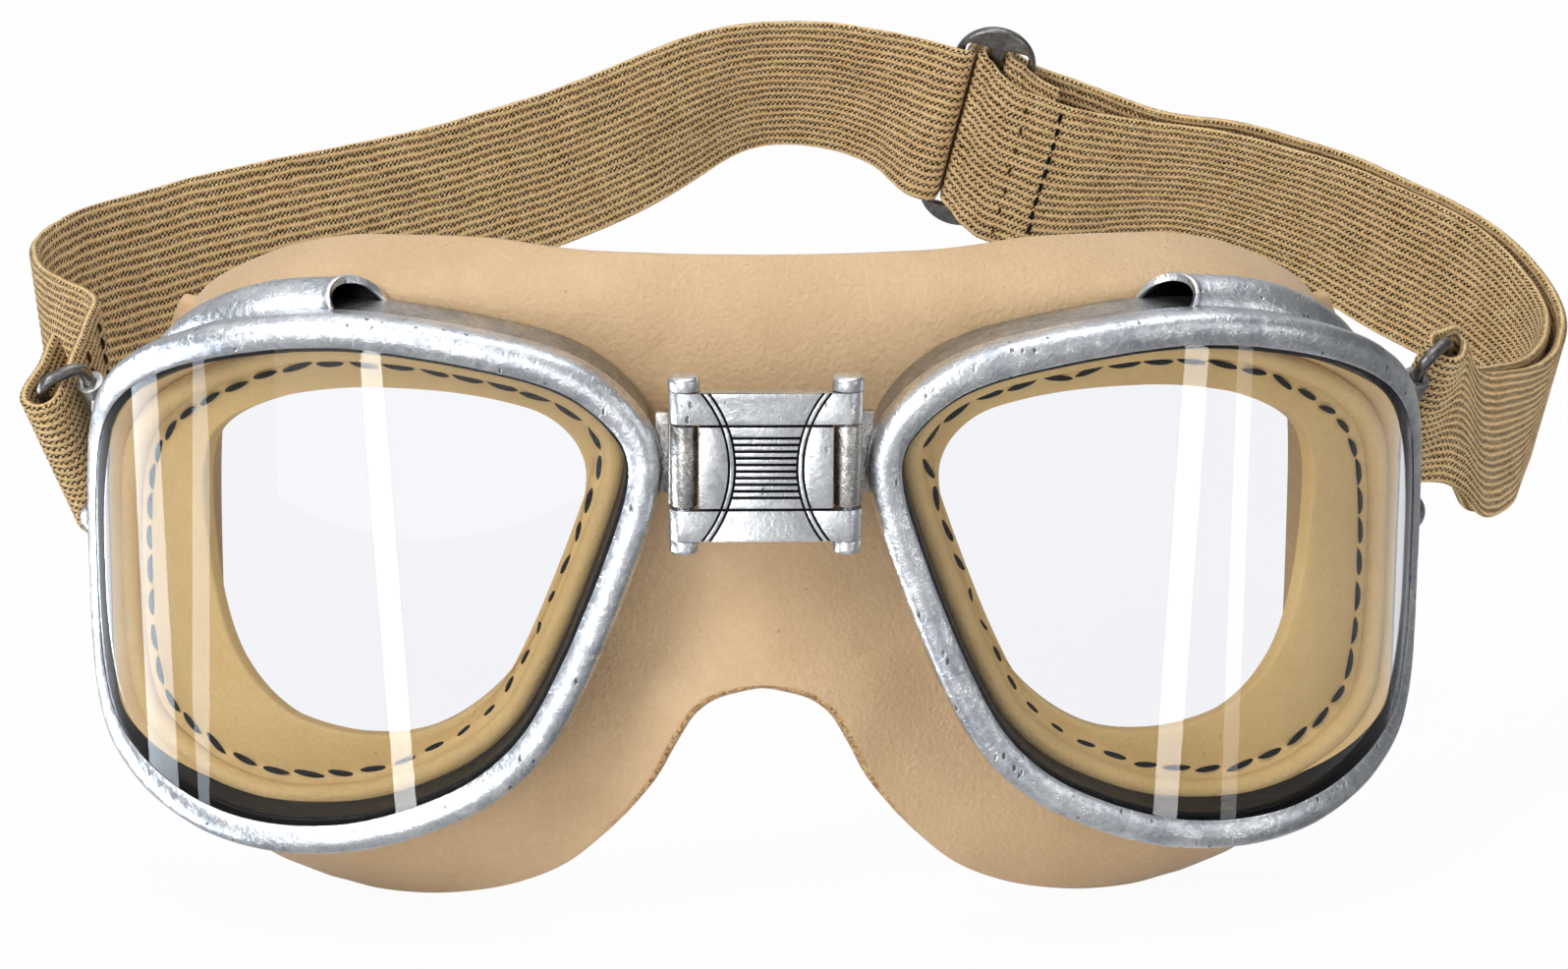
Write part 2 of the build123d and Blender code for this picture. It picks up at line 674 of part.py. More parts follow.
# Bridge: a grooved centre plate between two strips whose ends wrap the pins
plate_front = hinge_y - ear_radius
strip_z = ear_top - ear_height / 2
bridge = Pos(0, plate_front + plate_thickness / 2, 0) * Box(
    2 * plate_half_width, plate_thickness, 2 * plate_centre_half_height)
for side in (-1, 1):
    bridge += Pos(0, plate_front + plate_thickness / 2, side * strip_z) * Box(
        2 * hinge_x, plate_thickness, ear_height)
    step_z = side * (plate_centre_half_height + ear_top - ear_height) / 2
    step_height = ear_top - ear_height - plate_centre_half_height + strip_groove_height
    bridge += Pos(0, plate_front + (plate_thickness + strip_groove_depth) / 2, step_z) * Box(
        2 * plate_half_width, plate_thickness - strip_groove_depth, step_height)
    for end in (-1, 1):
        bridge += Pos(end * hinge_x, hinge_y, side * strip_z) * Cylinder(ear_radius, ear_height)
        bridge -= Pos(end * hinge_x, hinge_y, side * strip_z) * Cylinder(
            pin_radius + running_clearance, ear_height + cut_overrun)
for k in range(groove_count):
    z = (k - (groove_count - 1) / 2) * groove_pitch
    half = groove_half_length + groove_waist * (z / plate_centre_half_height) ** 2 - groove_waist
    bridge -= Pos(0, plate_front, z) * Box(2 * half, 2 * groove_depth, groove_height)
for side in (-1, 1):
    for k in range(arc_lines):
        radius = arc_line_radius + k * arc_line_gap
        line = Cylinder(radius + arc_line_width / 2, 2 * groove_depth, rotation=(90, 0, 0))
        line -= Cylinder(radius - arc_line_width / 2, 2 * groove_depth + cut_overrun, rotation=(90, 0, 0))
        keep = Pos(-side * arc_line_radius, 0, 0) * Box(
            2 * plate_half_width, cut_overrun, 2 * ear_top)
        bridge -= Pos(side * arc_line_centre, plate_front, 0) * (line & keep)
parts["bridge_plate"] = bridge

# Hinge pins with their heads, and the riveted feet below
for name, side in (("left", -1), ("right", 1)):
    head_z = ear_top + running_clearance
    pin_foot_z = -ear_top - running_clearance
    length = head_z - pin_foot_z + pin_foot_bore_depth
    pin = Pos(side * hinge_x, hinge_y, head_z - length / 2) * Cylinder(pin_radius, length)
    head = Pos(0, 0, pin_head_height / 2) * Cylinder(pin_head_radius, pin_head_height)
    head = chamfer(head.edges().group_by(Axis.Z)[-1], pin_head_edge)
    pin += Pos(side * hinge_x, hinge_y, head_z) * head
    parts["hinge_pin_" + name] = pin
    foot = Pos(0, 0, -pin_foot_height / 2) * Cylinder(pin_foot_radius, pin_foot_height)
    foot = chamfer(foot.edges().group_by(Axis.Z)[0], pin_head_edge)
    foot -= Pos(0, 0, -pin_foot_bore_depth / 2) * Cylinder(pin_radius, pin_foot_bore_depth)
    parts["pin_foot_" + name] = Pos(side * hinge_x, hinge_y, pin_foot_z) * foot

# Temple lug: a plate behind the rim with a barrel for the strap ring
ring_lean = unit(ring_lean_shares)
temple_x, temple_y = plan_point(cup_length)
lug_x = temple_x - lug_sunk
lug_front = temple_y + lug_behind
lug_back = lug_front + lug_depth
lug_screw_y = temple_y + lug_screw_behind
ring_at = Vector(temple_x - ring_sunk, temple_y + ring_behind, ring_height)
barrel_low = ring_at + ring_lean * lug_barrel_from
barrel_high = ring_at + ring_lean * lug_barrel_to
lug_outline = [
    (lug_front, lug_bottom), (lug_back, lug_bottom), (lug_back, lug_waist),
    (barrel_low.Y, barrel_low.Z), (barrel_high.Y, barrel_high.Z), (lug_front, lug_waist + lug_thickness),
]
lug_face = Face(Wire.make_polygon([Vector(lug_x, y, z) for y, z in lug_outline], close=True))
lug = extrude(lug_face, lug_thickness, dir=(1, 0, 0))
barrel_length = lug_barrel_to - lug_barrel_from
lug += Solid.make_cylinder(lug_barrel_radius, barrel_length, Plane(barrel_low, z_dir=ring_lean))
bore_from = barrel_low - ring_lean * cut_overrun
lug -= Solid.make_cylinder(
    ring_wire_radius + running_clearance, barrel_length + 2 * cut_overrun, Plane(bore_from, z_dir=ring_lean))
screw_at = Plane((lug_x, lug_screw_y, lug_screw_z), z_dir=(1, 0, 0))
lug -= Solid.make_cylinder(screw_shank_radius, lug_thickness, screw_at)
both("lug", lug)

# Temple screw: a domed head outside, its nut inside
cap_radius = (screw_dome_radius ** 2 + screw_dome_height ** 2) / (2 * screw_dome_height)
dome = Pos(0, 0, screw_dome_height - cap_radius) * Sphere(cap_radius)
dome = dome & Pos(0, 0, cap_radius) * Box(4 * cap_radius, 4 * cap_radius, 2 * cap_radius)
shank_length = lug_thickness + nut_thickness
dome += Pos(0, 0, -shank_length / 2) * Cylinder(screw_shank_radius, shank_length)
both("temple_screw", Plane((lug_x + lug_thickness, lug_screw_y, lug_screw_z), z_dir=(1, 0, 0)) * dome)
nut = Pos(0, 0, -nut_thickness / 2) * (
    extrude(RegularPolygon(nut_radius, 6), nut_thickness / 2, both=True)
    - Cylinder(screw_shank_radius, nut_thickness))
both("temple_nut", Plane((lug_x, lug_screw_y, lug_screw_z), z_dir=(1, 0, 0)) * nut)


# Strap rings
def ring_frame(side, way_shares):
    """The link's own directions: along its bars, and from the lug's bar to the strap's bar."""
    lean = Vector(side * ring_lean.X, ring_lean.Y, ring_lean.Z)
    centre = Vector(side * ring_at.X, ring_at.Y, ring_at.Z)
    way = Vector(side * way_shares[0], way_shares[1], way_shares[2])
    way = (way - lean * way.dot(lean)).normalized()
    return centre, lean, way


strap_bars = {}
for name, side, way_shares in (("right", 1, ring_right_way_shares), ("left", -1, ring_left_way_shares)):
    centre, lean, way = ring_frame(side, way_shares)
    strap_bars[name] = (centre + way * ring_width, lean, way)
    middle = centre + way * (ring_width / 2)
    plane = Plane(middle, x_dir=way, z_dir=way.cross(lean))
    path = (plane * RectangleRounded(ring_width, ring_bar_length, ring_corner)).wire()
    start = path @ 0
    section = Plane(start, z_dir=path % 0) * Circle(ring_wire_radius)
    parts["ring_" + name] = sweep(section, path=path)


# Strap: one webbing as ribbons through stations, each a middle point and a width direction
def route(shares, ring_place, near_ring_first):
    """The strap's stations: one end stays beside the ring, the other goes with the strap's span."""
    rows = [(Vector(*row[:3]) * strap_span, unit(row[3:])) for row in shares]
    last = len(rows) - 1
    shift = ring_place - rows[0 if near_ring_first else last][0]
    return [(p + shift * ((last - k if near_ring_first else k) / last), w) for k, (p, w) in enumerate(rows)]


def ahead_at(rows, k):
    return (rows[min(k + 1, len(rows) - 1)][0] - rows[max(k - 1, 0)][0]).normalized()


def moved_in(rows, amount):
    """The stations moved towards the inside of the strap's loop."""
    return [(p + w.cross(ahead_at(rows, k)).normalized() * amount, w) for k, (p, w) in enumerate(rows)]


def sections_of(rows):
    """The webbing's four corners at each station."""
    sections = []
    for k, (point, across) in enumerate(rows):
        thick = across.cross(ahead_at(rows, k)).normalized() * (strap_thickness / 2)
        half = across * (strap_width / 2)
        corners = (point + half + thick, point - half + thick, point - half - thick, point + half - thick)
        sections.append([tuple(v) for v in corners])
    return sections


layer = strap_thickness + strap_layer_gap
slider_at = Vector(*slider_place_shares) * strap_span
slider_up = unit(slider_up_shares)
slider_along = unit(slider_along_shares)
slider_along = (slider_along - slider_up * slider_along.dot(slider_up)).normalized()
slider_front = slider_along.cross(slider_up).normalized()


def by_slider(*places):
    """Stations at places along the slider, in front of its middle plane and below its middle."""
    return [
        (slider_at + slider_along * along + slider_front * front - slider_up * sum(low), slider_up)
        for along, front, *low in places
    ]


half_slider = slider_width / 2
half_bar = slider_centre_bar / 2
half_plate = slider_thickness / 2
inner_edge = half_slider - slider_outer_bar
wrap_gap = strap_thickness / 2 + strap_slider_gap
corner_gap = wrap_gap * math.sqrt(0.5)
touch = half_plate + wrap_gap
stack = touch + strap_thickness + strap_slider_gap
slot_run = -inner_edge + strap_thickness / 2 + 2 * strap_slider_gap
well_off = half_slider + slider_width / 3

# The run through the slider: over the left bar, down the left slot and behind the centre bar
left_dive = by_slider(
    (half_bar, -stack), (-half_bar, -stack),
    (slot_run + wrap_gap * 2 - strap_slider_gap / 2, -stack + strap_slider_gap / 2),
    (slot_run + corner_gap - strap_slider_gap / 2, -touch - strap_slider_gap * 2.5), (slot_run, -half_plate),
    (slot_run - strap_slider_gap / 2, 0.0),
    (slot_run - strap_slider_gap, half_plate), (-inner_edge + corner_gap, half_plate + corner_gap),
    (-inner_edge, touch), (-half_slider, touch),
)
# The end folded round the centre bar, brought up the right slot and sewn to itself
fold = by_slider(
    (well_off, stack, strap_front_drop), (half_slider, stack, strap_front_drop * 0.88),
    (inner_edge - wrap_gap, stack, strap_front_drop * 0.8),
    (half_bar + wrap_gap * 1.25, stack - strap_slider_gap, strap_front_drop * 0.6),
    (half_bar - wrap_gap / 2, touch + wrap_gap * 0.75, strap_front_drop * 0.42),
    (-half_bar * 0.3, touch + strap_slider_gap / 2, strap_front_drop * 0.24),
    (-half_bar, touch, strap_front_drop * 0.14),
    (-half_bar - corner_gap, half_plate + corner_gap), (-half_bar - wrap_gap, half_plate),
    (-half_bar - wrap_gap, -half_plate), (-half_bar - corner_gap, -half_plate - corner_gap),
    (-half_bar, -touch), (0.0, -touch), (half_bar, -touch), (half_bar + corner_gap, -half_plate - corner_gap),
    (half_bar + wrap_gap, -half_plate), (half_bar + wrap_gap * 1.1, 0.0),
    (half_bar + wrap_gap * 1.6, half_plate + strap_slider_gap),
    (inner_edge - wrap_gap * 1.6, touch - strap_slider_gap),
    (inner_edge, touch, strap_tail_drop * 0.2), (half_slider, touch, strap_tail_drop * 0.5),
    (well_off, touch, strap_tail_drop),
)
behind = by_slider(
    (half_bar, -stack), (half_slider, -stack, strap_back_drop * 0.8), (well_off, -stack, strap_back_drop))


def bar_roll(bar, lean, ahead, outward, steps=9):
    """Stations round a ring's bar, from its outward side to its other side."""
    ahead = (ahead - lean * ahead.dot(lean)).normalized()
    side = lean.cross(ahead).normalized()
    if side.dot(outward) < 0:
        side = side * -1
    rows = []
    for k in range(steps):
        angle = math.pi * k / (steps - 1)
        reach = side * math.cos(angle) - ahead * math.sin(angle)
        rows.append((bar + reach * strap_roll_radius, lean))
    return rows, ahead, side


def between(a, b, share):
    return (a * (1 - share) + b * share).normalized()


# Right half: out from the slider as the outer layer, round the ring's bar and back as the inner layer
bar, lean, way = strap_bars["right"]
right_route = route(strap_right_route_shares, bar + Vector(*strap_right_lead), True)
outer_line = moved_in(right_route, -layer / 2)
inner_line = moved_in(right_route, layer / 2)
roll, ahead, side = bar_roll(bar, lean, right_route[1][0] - bar, outer_line[1][0] - inner_line[1][0])
by_bar = bar + ahead * (strap_roll_radius * 1.7)
by_bar_lean = between(lean, right_route[1][1], 0.4)
right_rows = behind + outer_line[-2:0:-1]
off_bar = side * (layer * 0.7)
right_rows += [(by_bar + off_bar, by_bar_lean)] + roll + [(by_bar - off_bar, by_bar_lean)]
right_rows += inner_line[1:-1] + fold
right_sections = sections_of(right_rows)
first_seam = len(behind) + len(outer_line) - 2 - strap_seam_stations
second_seam = len(right_rows) - len(fold) - (len(inner_line) - 1) + strap_seam_stations
parts["strap_right_outer"] = skin(right_sections[:first_seam + 1])
parts["strap_right_end"] = skin(right_sections[first_seam:second_seam + 1])
parts["strap_right_inner"] = skin(right_sections[second_seam:])

# Left half: from the slider round the left bend to the fold, along the flap, round the bar, and the sewn tail
bar, lean, way = strap_bars["left"]
left_route = route(strap_left_route_shares, bar + Vector(*strap_left_lead), False)
flap = left_route[-1][0] - bar
to_camera = Vector(0, -1, 0)
roll, ahead, side = bar_roll(bar, lean, flap, to_camera)
left_rows = left_dive + left_route
for share in (0.84, 0.66, 0.48, 0.3):
    on_line = bar + ahead * (flap.length * share) * (1 - share) + flap * (share * share)
    lean_here = between(lean, left_route[-1][1], share)
    left_rows.append((on_line + side * (layer * (1 - share * share)), lean_here))
left_rows += roll
for share in (0.28, 0.42, 0.56):
    left_rows.append((bar + ahead * (flap.length * share) - side * (layer * (1 - share) * 0.7), lean))
left_sections = sections_of(left_rows)
left_seam = len(left_dive) + strap_left_seam_stations
parts["strap_left_run"] = skin(left_sections[:left_seam + 1])
parts["strap_left_end"] = skin(left_sections[left_seam:])


# Sewing: rows of thread across the flap and across the fold at the slider
def sew_across(rows, k, facing):
    point, across = rows[k]
    out = across.cross(ahead_at(rows, k)).normalized()
    if out.dot(facing) < 0:
        out = out * -1
    reach = across * (strap_width / 2 - strap_thickness)
    middle = point + out * (strap_thickness / 2 + stitch_radius + strap_slider_gap / 2)
    return stitches_along([tuple(middle - reach), tuple(middle + reach)], closed=False)


flap_first = len(left_dive) + len(left_route)
parts["sewing_left"] = Compound(
    sew_across(left_rows, flap_first, to_camera) + sew_across(left_rows, flap_first + 2, to_camera))
fold_first = len(right_rows) - len(fold)
parts["sewing_slider"] = Compound(
    sew_across(right_rows, fold_first + 1, slider_front) + sew_across(right_rows, fold_first, slider_front))

# Slider
blank = extrude(SlotOverall(slider_length, slider_width), slider_thickness / 2, both=True)
blank = chamfer(blank.edges().filter_by(GeomType.LINE).group_by(Axis.Z)[-1], slider_edge)
slot_width = inner_edge - half_bar
for side_sign in (-1, 1):
    blank -= Pos(0, side_sign * (half_bar + slot_width / 2), 0) * extrude(
        RectangleRounded(slider_slot_length, slot_width, slider_slot_corner), slider_thickness, both=True)
parts["slider"] = Plane(slider_at, x_dir=slider_up, z_dir=slider_front) * blank

for name, shape in parts.items():
    export_step(shape, "parts/" + name + ".step")
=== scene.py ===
# %% [markdown]
# Flying goggles: two framed wrap-round lenses, a hinged bridge, one leather mask and a ribbed elastic strap.
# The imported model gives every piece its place. This lesson dresses it: the camera first, then the finishes,
# the metal, the lenses, the leather, the thread and the webbing, and the light last.

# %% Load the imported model
import bpy
import json
import math
import numpy as np
from mathutils import Matrix, Vector, noise

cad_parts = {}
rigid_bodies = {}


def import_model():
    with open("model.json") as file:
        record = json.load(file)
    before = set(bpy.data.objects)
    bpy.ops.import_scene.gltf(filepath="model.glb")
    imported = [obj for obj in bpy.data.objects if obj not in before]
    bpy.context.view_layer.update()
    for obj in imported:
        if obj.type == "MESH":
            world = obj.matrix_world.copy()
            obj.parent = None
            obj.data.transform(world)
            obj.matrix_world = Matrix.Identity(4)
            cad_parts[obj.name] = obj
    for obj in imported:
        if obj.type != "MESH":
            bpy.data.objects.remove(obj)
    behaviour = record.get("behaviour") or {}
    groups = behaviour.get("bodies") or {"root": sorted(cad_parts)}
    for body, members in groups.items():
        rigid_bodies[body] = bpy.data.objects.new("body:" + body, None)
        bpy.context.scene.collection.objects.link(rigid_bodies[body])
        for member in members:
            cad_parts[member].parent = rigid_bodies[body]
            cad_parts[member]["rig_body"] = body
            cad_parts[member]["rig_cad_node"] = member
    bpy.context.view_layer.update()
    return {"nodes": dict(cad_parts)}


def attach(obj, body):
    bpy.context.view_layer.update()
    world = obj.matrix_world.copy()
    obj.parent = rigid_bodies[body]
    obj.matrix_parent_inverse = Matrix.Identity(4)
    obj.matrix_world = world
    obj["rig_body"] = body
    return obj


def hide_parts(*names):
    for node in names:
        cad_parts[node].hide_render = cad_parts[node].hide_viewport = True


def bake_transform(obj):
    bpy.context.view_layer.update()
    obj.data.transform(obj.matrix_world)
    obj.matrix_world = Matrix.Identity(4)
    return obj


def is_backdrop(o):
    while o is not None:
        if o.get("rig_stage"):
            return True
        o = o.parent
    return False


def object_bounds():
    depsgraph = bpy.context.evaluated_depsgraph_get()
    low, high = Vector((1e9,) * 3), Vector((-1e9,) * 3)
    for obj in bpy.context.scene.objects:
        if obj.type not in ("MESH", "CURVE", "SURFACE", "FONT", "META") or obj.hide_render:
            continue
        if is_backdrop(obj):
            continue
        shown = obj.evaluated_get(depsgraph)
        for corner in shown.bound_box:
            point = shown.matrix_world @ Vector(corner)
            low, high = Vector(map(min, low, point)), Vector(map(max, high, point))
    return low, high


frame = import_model()
nodes = frame["nodes"]
bpy.ops.object.select_all(action="DESELECT")
mm = 0.001

# %% [markdown]
# The camera comes first, because every later choice is judged through it. A long lens from about 65 cm, a
# little above the goggles and a hair to their left, gives the picture's mild perspective.

# %% Camera
aim = Vector((2.14, -18.0, -2.3)) * mm
swing, rise, roll = math.radians(-2.0), math.radians(17.0), math.radians(0.35)
back = Vector((math.sin(swing) * math.cos(rise), -math.cos(swing) * math.cos(rise), math.sin(rise)))
level = (-back).cross(Vector((0, 0, 1))).normalized()
upright = level.cross(-back)
across = level * math.cos(roll) + upright * math.sin(roll)
upward = upright * math.cos(roll) - level * math.sin(roll)
bpy.ops.object.camera_add()
camera = bpy.context.object
camera.data.lens = 126.94
camera.data.sensor_width = 36.0
camera.data.clip_start, camera.data.clip_end = 0.02, 20.0
turn = Matrix((across, upward, back)).transposed()
camera.matrix_world = Matrix.Translation(aim + back * 0.65) @ turn.to_4x4()
bpy.context.scene.camera = camera
print("camera at", [round(v, 3) for v in camera.location])

# %% [markdown]
# Small helpers. A colour is written as it looks on screen and turned into the linear value that shaders use.
# `put` adds a shader node, sets its sockets and links whatever is itself a socket. The others are short names
# for the nodes that come up again and again, so that a material reads as a short recipe.

# %% Helpers for materials
def seen(r, g, b):
    """A colour as it looks on screen, 0 to 255, as a shader's linear colour."""
    shares = (r / 255, g / 255, b / 255)
    return tuple(v / 12.92 if v <= 0.04 else ((v + 0.055) / 1.055) ** 2.4 for v in shares) + (1.0,)


def feed(socket, value):
    """A socket linked to another socket, or set to a plain value."""
    if isinstance(value, bpy.types.NodeSocket):
        socket.id_data.links.new(value, socket)
    else:
        socket.default_value = value


def put(tree, kind, sockets=None, **settings):
    node = tree.nodes.new("ShaderNode" + kind)
    for name, value in settings.items():
        setattr(node, name, value)
    for name, value in (sockets or {}).items():
        feed(node.inputs[name], value)
    return node


def new_material(name, **plain):
    """An empty material with its Principled shader; plain values go straight onto the shader's sockets."""
    material = bpy.data.materials.new(name)
    material.use_nodes = True
    shader = material.node_tree.nodes["Principled BSDF"]
    for socket, value in plain.items():
        shader.inputs[socket.replace("_", " ")].default_value = value
    return material, material.node_tree, shader


def ramp(fac, stops):
    """A colour ramp; each stop is a place and a colour."""
    node = put(fac.id_data, "ValToRGB", {"Fac": fac})
    elements = node.color_ramp.elements
    while len(elements) < len(stops):
        elements.new(0.5)
    for element, (place, colour) in zip(elements, stops):
        element.position = place
        element.color = colour
    return node.outputs["Color"]


def remap(value, low, high, to_low=0.0, to_high=1.0):
    return put(value.id_data, "MapRange", {"Value": value, "From Min": low, "From Max": high,
                                           "To Min": to_low, "To Max": to_high}).outputs["Result"]


def sums(operation):
    """A function that works one Math node after another over what it is given; the first is a socket."""
    def chain(first, *others):
        for other in others:
            node = put(first.id_data, "Math", operation=operation)
            feed(node.inputs[0], first)
            feed(node.inputs[1], other)
            first = node.outputs[0]
        return first
    return chain


plus, minus, times = sums("ADD"), sums("SUBTRACT"), sums("MULTIPLY")
parted, power = sums("DIVIDE"), sums("POWER")
larger, sine, floored = sums("MAXIMUM"), sums("SINE"), sums("FLOOR")


def mixed(fac, a, b, blend="MIX"):
    node = put(a.id_data, "Mix", data_type="RGBA", blend_type=blend)
    for place, value in ((0, fac), (6, a), (7, b)):
        feed(node.inputs[place], value)
    return node.outputs[2]


def grain(where, size, detail=3.0, rough=0.55, warp=0.0):
    """Noise whose features are about size metres across, from 0 to 1."""
    return put(where.id_data, "TexNoise", {"Vector": where, "Scale": 1.0 / size, "Detail": detail,
                                           "Roughness": rough, "Distortion": warp}).outputs["Fac"]


def cells(where, size, feature="F1"):
    spots = put(where.id_data, "TexVoronoi", {"Vector": where, "Scale": 1.0 / size}, feature=feature)
    return spots.outputs["Distance"]


def coat(shader, colour, roughness, height, depth, strength):
    """A shader's colour and roughness, and height from 0 to 1 as a bump of that depth in metres."""
    bump = put(shader.id_data, "Bump", {"Height": height, "Distance": depth, "Strength": strength})
    for name, value in (("Base Color", colour), ("Roughness", roughness), ("Normal", bump.outputs["Normal"])):
        feed(shader.inputs[name], value)


def either(fac, first, second):
    """The first shader where fac is 0, the second where it is 1."""
    choice = put(first.id_data, "MixShader", {"Fac": fac})
    feed(choice.inputs[1], first.outputs[0])
    feed(choice.inputs[2], second.outputs[0])
    return choice


# %% [markdown]
# The metal is cast and dipped, not polished: grey-blue patches drift into brighter ones, small dark pits sit
# in it, and nothing is quite even. One recipe serves all of it with a brightness and a roughness, so that
# the rims are light, the bands behind them duller and the hinge barrels nearly black.

# %% Metal finishes
def metal(name, light, dark, roughness, pits=0.5, mottle=1.0):
    material, tree, shader = new_material(name, Metallic=1.0)
    where = put(tree, "TexCoord").outputs["Object"]
    broad = grain(where, 0.008, 3.0, 0.5, 1.2)
    fine = grain(where, 0.0014, 4.0, 0.62, 1.6)
    blotch = plus(times(broad, 0.55), times(fine, 0.45))
    between = tuple((a + b) / 2 for a, b in zip(dark, light))
    colour = ramp(blotch, [(0.36, dark), (0.48, between), (0.6, light)])
    stretched = put(tree, "Mapping", {"Vector": where, "Scale": (1.0, 1.0, 0.45)}).outputs["Vector"]
    sparse = remap(grain(where, 0.004, 3.0), 0.53, 0.6)
    pit = times(remap(cells(stretched, 0.0011), 0.24, 0.14), sparse)
    colour = mixed(times(pit, pits), colour, seen(38, 38, 42))
    # Where the mesh attribute `dark` is set the colour goes nearly black: patina in the bridge's engraved
    # lines, and painted shade inside the vent hoods.
    darkening = put(tree, "Attribute", attribute_name="dark").outputs["Fac"]
    colour = mixed(darkening, colour, seen(26, 26, 29))
    scratched = grain(where, 0.0008, 3.0, 0.6, 2.0)
    uneven = plus(blotch, times(scratched, 0.4))
    rough = remap(uneven, 0.55, 0.8, roughness + 0.07, roughness - 0.04)
    dents = plus(times(fine, 0.7 * mottle), times(scratched, 0.2))
    coat(shader, colour, rough, minus(dents, times(pit, 0.8)), 0.0003, 0.55)
    return material


pewter = metal("Pewter", seen(236, 239, 243), seen(176, 182, 191), 0.3, 0.75)
pewter_dull = metal("Pewter dull", seen(190, 190, 190), seen(138, 138, 138), 0.36, 0.6)
bridge_metal = metal("Bridge pewter", seen(236, 238, 241), seen(188, 191, 196), 0.3, 0.6, 0.5)
dark_steel = metal("Dark steel", seen(206, 203, 200), seen(104, 101, 99), 0.28, 0.4)
gunmetal = metal("Gunmetal", seen(152, 150, 148), seen(100, 98, 97), 0.27, 0.3, 0.4)
print("metal finishes:", pewter.name, pewter_dull.name, bridge_metal.name, dark_steel.name, gunmetal.name)

# %% [markdown]
# Leather is a colour, a fine pebbled grain and a soft sheen. The mask is smooth and sandy, the leather inside
# the cups is yellower and flatter. The mask's cut edge is fibrous, so an attribute named `cut` on its mesh
# blends the flecked edge in where the leather was trimmed.

# %% Leather finishes
def leather(name, main, deep, grain_size, depth, roughness, cut=False):
    material, tree, shader = new_material(
        name, Sheen_Weight=0.12, Sheen_Roughness=0.4, Specular_IOR_Level=0.35)
    where = put(tree, "TexCoord").outputs["Object"]
    clouds = grain(where, 0.02, 3.0, 0.6)
    pebble = cells(where, grain_size, "SMOOTH_F1")
    wrinkle = grain(where, grain_size * 1.3, 4.0, 0.6, 1.2)
    colour = ramp(plus(times(clouds, 0.6), times(wrinkle, 0.4)), [(0.3, deep), (0.68, main)])
    pores = remap(cells(where, 0.0042), 0.055, 0.03)
    colour = mixed(times(pores, 0.35), colour, seen(120, 88, 52))
    height = plus(times(pebble, 0.7), times(wrinkle, 0.8))
    if cut:
        edge = put(tree, "Attribute", attribute_name="cut").outputs["Fac"]
        fibre = grain(where, 0.0007, 5.0, 0.7, 1.5)
        cork = ramp(fibre, [(0.36, seen(96, 66, 34)), (0.47, seen(176, 134, 84)),
                            (0.62, seen(222, 186, 134))])
        colour = mixed(edge, colour, cork)
        height = plus(height, times(edge, fibre, 2.5))
    coat(shader, colour, remap(wrinkle, 0.3, 0.7, roughness + 0.08, roughness - 0.05), height, depth, 0.5)
    return material


tan_leather = leather("Tan leather", seen(213, 183, 144), seen(194, 161, 120), 0.0006, 0.0003, 0.5, cut=True)
inner_leather = leather("Inner leather", seen(216, 183, 122), seen(194, 159, 98), 0.0005, 0.0002, 0.55)
lining_leather = leather("Lining leather", seen(205, 175, 126), seen(180, 149, 101), 0.0009, 0.0004, 0.7)
print("leather finishes:", tan_leather.name, inner_leather.name, lining_leather.name)

# %% [markdown]
# The strap is ribbed elastic: smooth cotton cords lie side by side, and rows of small loops hold them
# together in the valleys between, which are darkened with painted shade. The ribs are real geometry.
# The loops are too many for that, so they come from the piece's own UV map, which is in millimetres
# across and along the strap.

# %% Webbing, thread, rubber
rib_count = 19
strap_width = 25.0
rib_pitch = strap_width / rib_count


def webbing_finish(name):
    material, tree, shader = new_material(
        name, Sheen_Weight=0.06, Sheen_Roughness=0.5, Specular_IOR_Level=0.12)
    uv = put(tree, "UVMap", uv_map="UVMap").outputs["UV"]
    split = put(tree, "SeparateXYZ", {"Vector": uv})
    crossways, along = split.outputs["X"], split.outputs["Y"]
    wander = times(minus(grain(uv, 4.0, 3.0, 0.6), 0.5), 0.9)
    ribs = parted(plus(crossways, wander), rib_pitch)
    rib = power(sine(times(ribs, math.pi), 0.0), 2.0)
    messy = grain(uv, 0.5, 3.0, 0.65, 0.8)
    slant = plus(times(along, 1.55), times(crossways, 0.4), times(floored(ribs, 0.0), 0.37),
                 times(messy, 1.3))
    tuft = remap(sine(times(slant, 2 * math.pi), 0.0), -1.0, 1.0)
    valley = remap(rib, 0.7, 0.25)
    height = plus(times(rib, 0.68), times(valley, tuft, 0.34), times(minus(messy, 0.5), 0.8))
    shade = plus(height, times(minus(grain(uv, 7.0, 3.0, 0.6), 0.5), 0.3))
    # The colour follows the height: the valleys get painted shade and the rib tops a painted highlight, around
    # the yarn's own tan.
    colour = ramp(shade, [(0.08, seen(44, 26, 10)), (0.26, seen(120, 86, 46)), (0.5, seen(205, 169, 114)),
                          (0.8, seen(246, 217, 166))])
    lively = remap(grain(uv, 2.2, 2.0, 0.5), 0.3, 0.6, 0.35, 1.0)
    # In the valleys the loops get bright flecks, a painted highlight, and the holes between them dark flecks,
    # painted shade.
    for low, high, fleck in ((0.62, 0.9, seen(250, 226, 180)), (0.45, 0.15, seen(52, 34, 16))):
        colour = mixed(times(valley, remap(tuft, low, high), lively, 0.9), colour, fleck)
    coat(shader, colour, remap(shade, 0.3, 1.0, 0.95, 0.75), height, 0.0004, 0.9)
    return material


def thread_finish(name, colour, pale):
    material, tree, shader = new_material(name, Specular_IOR_Level=0.12)
    fuzz = grain(put(tree, "TexCoord").outputs["Object"], 0.0003, 3.0, 0.6, 1.0)
    coat(shader, ramp(fuzz, [(0.35, colour), (0.7, pale)]), 0.6, fuzz, 0.0001, 0.6)
    return material


webbing = webbing_finish("Elastic webbing")
black_thread = thread_finish("Black thread", seen(4, 4, 5), seen(15, 15, 17))
brown_thread = thread_finish("Brown thread", seen(44, 30, 16), seen(88, 64, 38))

